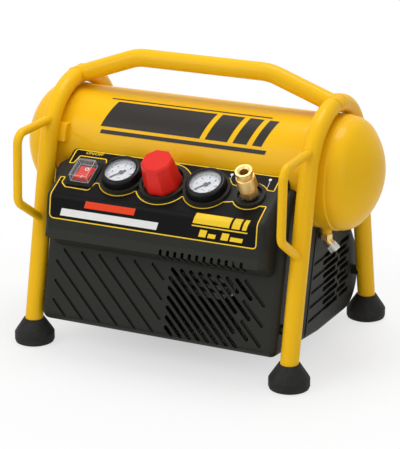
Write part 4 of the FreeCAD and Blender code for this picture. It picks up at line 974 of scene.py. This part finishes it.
class COMPRESSOR_OT_tank_band(bpy.types.Operator):
    """Prints plain dark speed stripes along the tank's front"""
    bl_idname = "compressor.tank_band"
    bl_label = "Tank band"

    def execute(self, context):
        bars = (("long", -110, 22, 38.5, 76), ("second", 29, 58, 38.5, 76), ("third", 65, 83, 38.5, 76),
                ("fourth", 90, 102, 38.5, 76), ("low", -109, 108, 29.5, 34.5),
                ("high", -110, 102, 79.5, 81.5))
        for label, x0, x1, low, high in bars:
            name = "tank_stripe_" + label
            shape = filled(slanted_bar(x0, x1, low, high, BAND_SLANT))
            cut_rows(shape, [(low + (high - low) * i / BAND_ROWS) * MM for i in range(1, BAND_ROWS)])
            lay(shape.verts, lambda x, a: on_tank_skin(x, a, BAND_LIFT))
            piece(name, mesh_of(shape, name), "stripe_black")
        return {"FINISHED"}


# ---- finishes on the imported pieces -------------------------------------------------

def colour_property(label, about, colour):
    return bpy.props.FloatVectorProperty(name=label, description=about, subtype="COLOR",
                                         default=colour, min=0.0, max=1.0)


class PaintSettings(bpy.types.PropertyGroup):
    frame: colour_property("Frame paint", "Powder coat of the tank, hoops and handle", (0.87, 0.49, 0.006))
    housing: colour_property("Housing", "Moulded plastic of the covers", (0.016, 0.0165, 0.013))
    black: colour_property("Black parts", "Gauge cases, switch body and films", (0.007, 0.007, 0.007))
    red: colour_property("Red parts", "Regulator knob and rocker", (0.72, 0.02, 0.013))
    brass: colour_property("Brass", "Coupler and fittings", (0.84, 0.6, 0.25))
    rubber: colour_property("Rubber", "Feet and mounts", (0.0115, 0.0115, 0.011))
    stripe: colour_property("Pinstripe", "Yellow printing ink", (0.93, 0.62, 0.03))


class COMPRESSOR_OT_finishes(bpy.types.Operator):
    """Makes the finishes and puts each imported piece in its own"""
    bl_idname = "compressor.finishes"
    bl_label = "Finishes"

    def execute(self, context):
        paint = context.scene.compressor_paint
        yellow_paint(paint.frame)
        moulded_plastic(paint.housing)
        gloss_plastic("black_plastic", paint.black, 0.26, 0.12)
        gloss_plastic("red_plastic", paint.red, 0.3, 0.16)
        rubber("foot_rubber", paint.rubber)
        rubber("rubber", shade(paint.rubber, 1.4))
        metal("brass", paint.brass, 0.34, turned=0.00002)
        metal("bright_steel", (0.6, 0.59, 0.55), 0.28)
        metal("plated_steel", (0.45, 0.45, 0.44), 0.34)
        # painted shade: the cast aluminium is coloured near black for the shade inside the housing, and the
        # laminations darker than their steel for the same shade
        metal("cast_aluminium", (0.17, 0.17, 0.17), 0.5, cast=0.0001)
        metal("lamination", (0.1, 0.1, 0.1), 0.5, turned=0.00006)
        metal("copper", (0.42, 0.17, 0.09), 0.4, turned=0.00006)
        clear_plastic("clear_plastic", (0.7, 0.7, 0.72), 0.05, 0.03)
        # painted highlight: pale, half-clear bars on the switch cover's edges
        clear_plastic("clear_edge", (0.85, 0.85, 0.86), 0.5, 0.1)
        clear_plastic("lens", (0.92, 0.94, 0.95), 0.1, 0.02)
        print_ink("dial_white", (0.74, 0.77, 0.82), 0.38)
        print_ink("dial_ink", (0.015, 0.015, 0.017), 0.35)
        print_ink("film_black", shade(paint.black, 0.6), 0.42, 0.08)
        print_ink("print_red", (0.83, 0.06, 0.015), 0.3)
        print_ink("print_white", (0.8, 0.8, 0.78), 0.3)
        print_ink("stripe_yellow", paint.stripe, 0.3)
        print_ink("stripe_black", (0.03, 0.027, 0.024), 0.34)
        for name, node in frame["nodes"].items():
            node.data.materials.clear()
            node.data.materials.append(FINISHES[SLOTS[name]])
        return {"FINISHED"}


# ---- stage -------------------------------------------------------------------------

WHITE = (1, 1, 1, 1)
CAMERA_AIM = Vector((-0.0042, 0.0054, 0.1368))
LAMP_AIM = Vector((0, 0, 0.15))
LAMPS = (("key_light", (-1.4, -2.1, 1.6), 2.2, 1.0),             # place, size, share of the key's power
         ("fill_light", (1.9, -1.3, 0.9), 1.6, 0.22),
         ("top_light", (0.0, 0.25, 1.9), 1.0, 0.6))
FLOOR_R = 6.0


class StageSettings(bpy.types.PropertyGroup):
    azimuth: bpy.props.FloatProperty(
        name="View direction", description="Camera's turn round the compressor",
        default=math.radians(25.421), subtype="ANGLE")
    elevation: bpy.props.FloatProperty(
        name="View height", description="Camera's angle over the horizon",
        default=math.radians(18.639), subtype="ANGLE")
    distance: bpy.props.FloatProperty(
        name="View distance", description="Camera's distance from its aim", default=2.3318,
        unit="LENGTH")
    lens: bpy.props.FloatProperty(
        name="Lens", description="Focal length in millimetres", default=151.64)
    key_power: bpy.props.FloatProperty(
        name="Key light", description="Power of the main soft light in watts", default=30.0)
    world_light: bpy.props.FloatProperty(
        name="Room light", description="Strength of the even light all round", default=0.42)


class COMPRESSOR_OT_stage(bpy.types.Operator):
    """Sets the camera, soft studio lights, white surroundings and pale floor"""
    bl_idname = "compressor.stage"
    bl_label = "Stage"

    def execute(self, context):
        stage = context.scene.compressor_stage
        context.scene.view_settings.view_transform = "Standard"
        self.camera(context, stage)
        for name, place, size, share in LAMPS:
            self.lamp(name, place, size, share * stage.key_power)
        self.world(context, stage.world_light)
        self.floor()
        return {"FINISHED"}

    def camera(self, context, stage):
        lens = bpy.data.cameras.new("camera")
        lens.lens = stage.lens
        lens.clip_start, lens.clip_end = 0.05, 50
        holder = linked("camera", lens)
        level = math.cos(stage.elevation)
        back = Vector((math.sin(stage.azimuth) * level, -math.cos(stage.azimuth) * level,
                       math.sin(stage.elevation)))
        holder.location = CAMERA_AIM + back * stage.distance
        holder.rotation_euler = (-back).to_track_quat("-Z", "Y").to_euler()
        context.scene.camera = holder

    def lamp(self, name, place, size, power):
        light = bpy.data.lights.new(name, "AREA")
        light.shape = "DISK"
        light.size = size
        light.energy = power
        holder = linked(name, light)
        holder.location = place
        holder.rotation_euler = (LAMP_AIM - holder.location).to_track_quat("-Z", "Y").to_euler()

    def world(self, context, strength):
        """Dim for the lighting, and full white where it is seen."""
        world = bpy.data.worlds.new("studio")
        world.use_nodes = True
        context.scene.world = world
        nodes = Nodes(world.node_tree)
        sky = world.node_tree.nodes["Background"]
        sky.inputs["Color"].default_value = WHITE
        nodes.put(sky.inputs["Strength"], strength + (1 - strength) * nodes.seen_rays())

    def floor(self):
        """Round floor that fades to white away from the compressor, where it is seen."""
        shape = bmesh.new()
        bmesh.ops.create_circle(shape, cap_ends=True, segments=96, radius=FLOOR_R)
        mesh = mesh_of(shape, "floor")
        floor = linked("floor", mesh)
        low = min(corner.z for name in frame["nodes"] if name.endswith("_foot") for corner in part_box(name))
        mesh.transform(Matrix.Translation((0, 0, low)))
        ground = Finish("floor_white", Specular_IOR_Level=0.2)
        ground.feed("Base Color", ground.mix(ground.speckle(3.0), shade(WHITE, 0.84), shade(WHITE, 0.86)))
        ground.feed("Roughness", 0.6 + 0.1 * ground.speckle(8.0))
        away = ground.node("ShaderNodeVectorMath", {"operation": "LENGTH"}, {0: ground.place()}, "Value")
        fade = (0.7 + (away - 0.2) * 1.2).clamped()
        glow = ground.node("ShaderNodeEmission", {}, {"Color": WHITE, "Strength": 1.0})
        surface = Value(ground, ground.shader.outputs[0])
        shown = ground.node("ShaderNodeMixShader", {}, {0: fade * ground.seen_rays(), 1: surface, 2: glow})
        ground.put(ground.tree.nodes["Material Output"].inputs["Surface"], shown)
        mesh.materials.append(ground.material)


# ---- add-on ------------------------------------------------------------------------

OPERATORS = (COMPRESSOR_OT_finishes, COMPRESSOR_OT_printed_panel, COMPRESSOR_OT_dials,
             COMPRESSOR_OT_switch_marks, COMPRESSOR_OT_cover_edges, COMPRESSOR_OT_welds,
             COMPRESSOR_OT_drain_knurl, COMPRESSOR_OT_tank_band, COMPRESSOR_OT_stage)
SETTINGS = {"compressor_paint": PaintSettings, "compressor_print": PrintSettings,
            "compressor_dials": DialSettings, "compressor_trim": TrimSettings,
            "compressor_stage": StageSettings}


class COMPRESSOR_PT_panel(bpy.types.Panel):
    """Lists the steps and their sizes"""
    bl_idname = "COMPRESSOR_PT_panel"
    bl_label = "Air Compressor"
    bl_space_type = "VIEW_3D"
    bl_region_type = "UI"
    bl_category = "Compressor"

    def draw(self, context):
        for step in OPERATORS:
            self.layout.operator(step.bl_idname)
        for name, group in SETTINGS.items():
            box = self.layout.box()
            settings = getattr(context.scene, name)
            for label in group.__annotations__:
                box.prop(settings, label)


def register():
    for item in (*SETTINGS.values(), *OPERATORS, COMPRESSOR_PT_panel):
        bpy.utils.register_class(item)
    for name, group in SETTINGS.items():
        setattr(bpy.types.Scene, name, bpy.props.PointerProperty(type=group))


def unregister():
    for name in SETTINGS:
        delattr(bpy.types.Scene, name)
    for item in (COMPRESSOR_PT_panel, *reversed(OPERATORS), *SETTINGS.values()):
        bpy.utils.unregister_class(item)


def main():
    register()
    for step in OPERATORS:
        family, name = step.bl_idname.split(".")
        getattr(getattr(bpy.ops, family), name)()


if __name__ == "__main__":
    main()
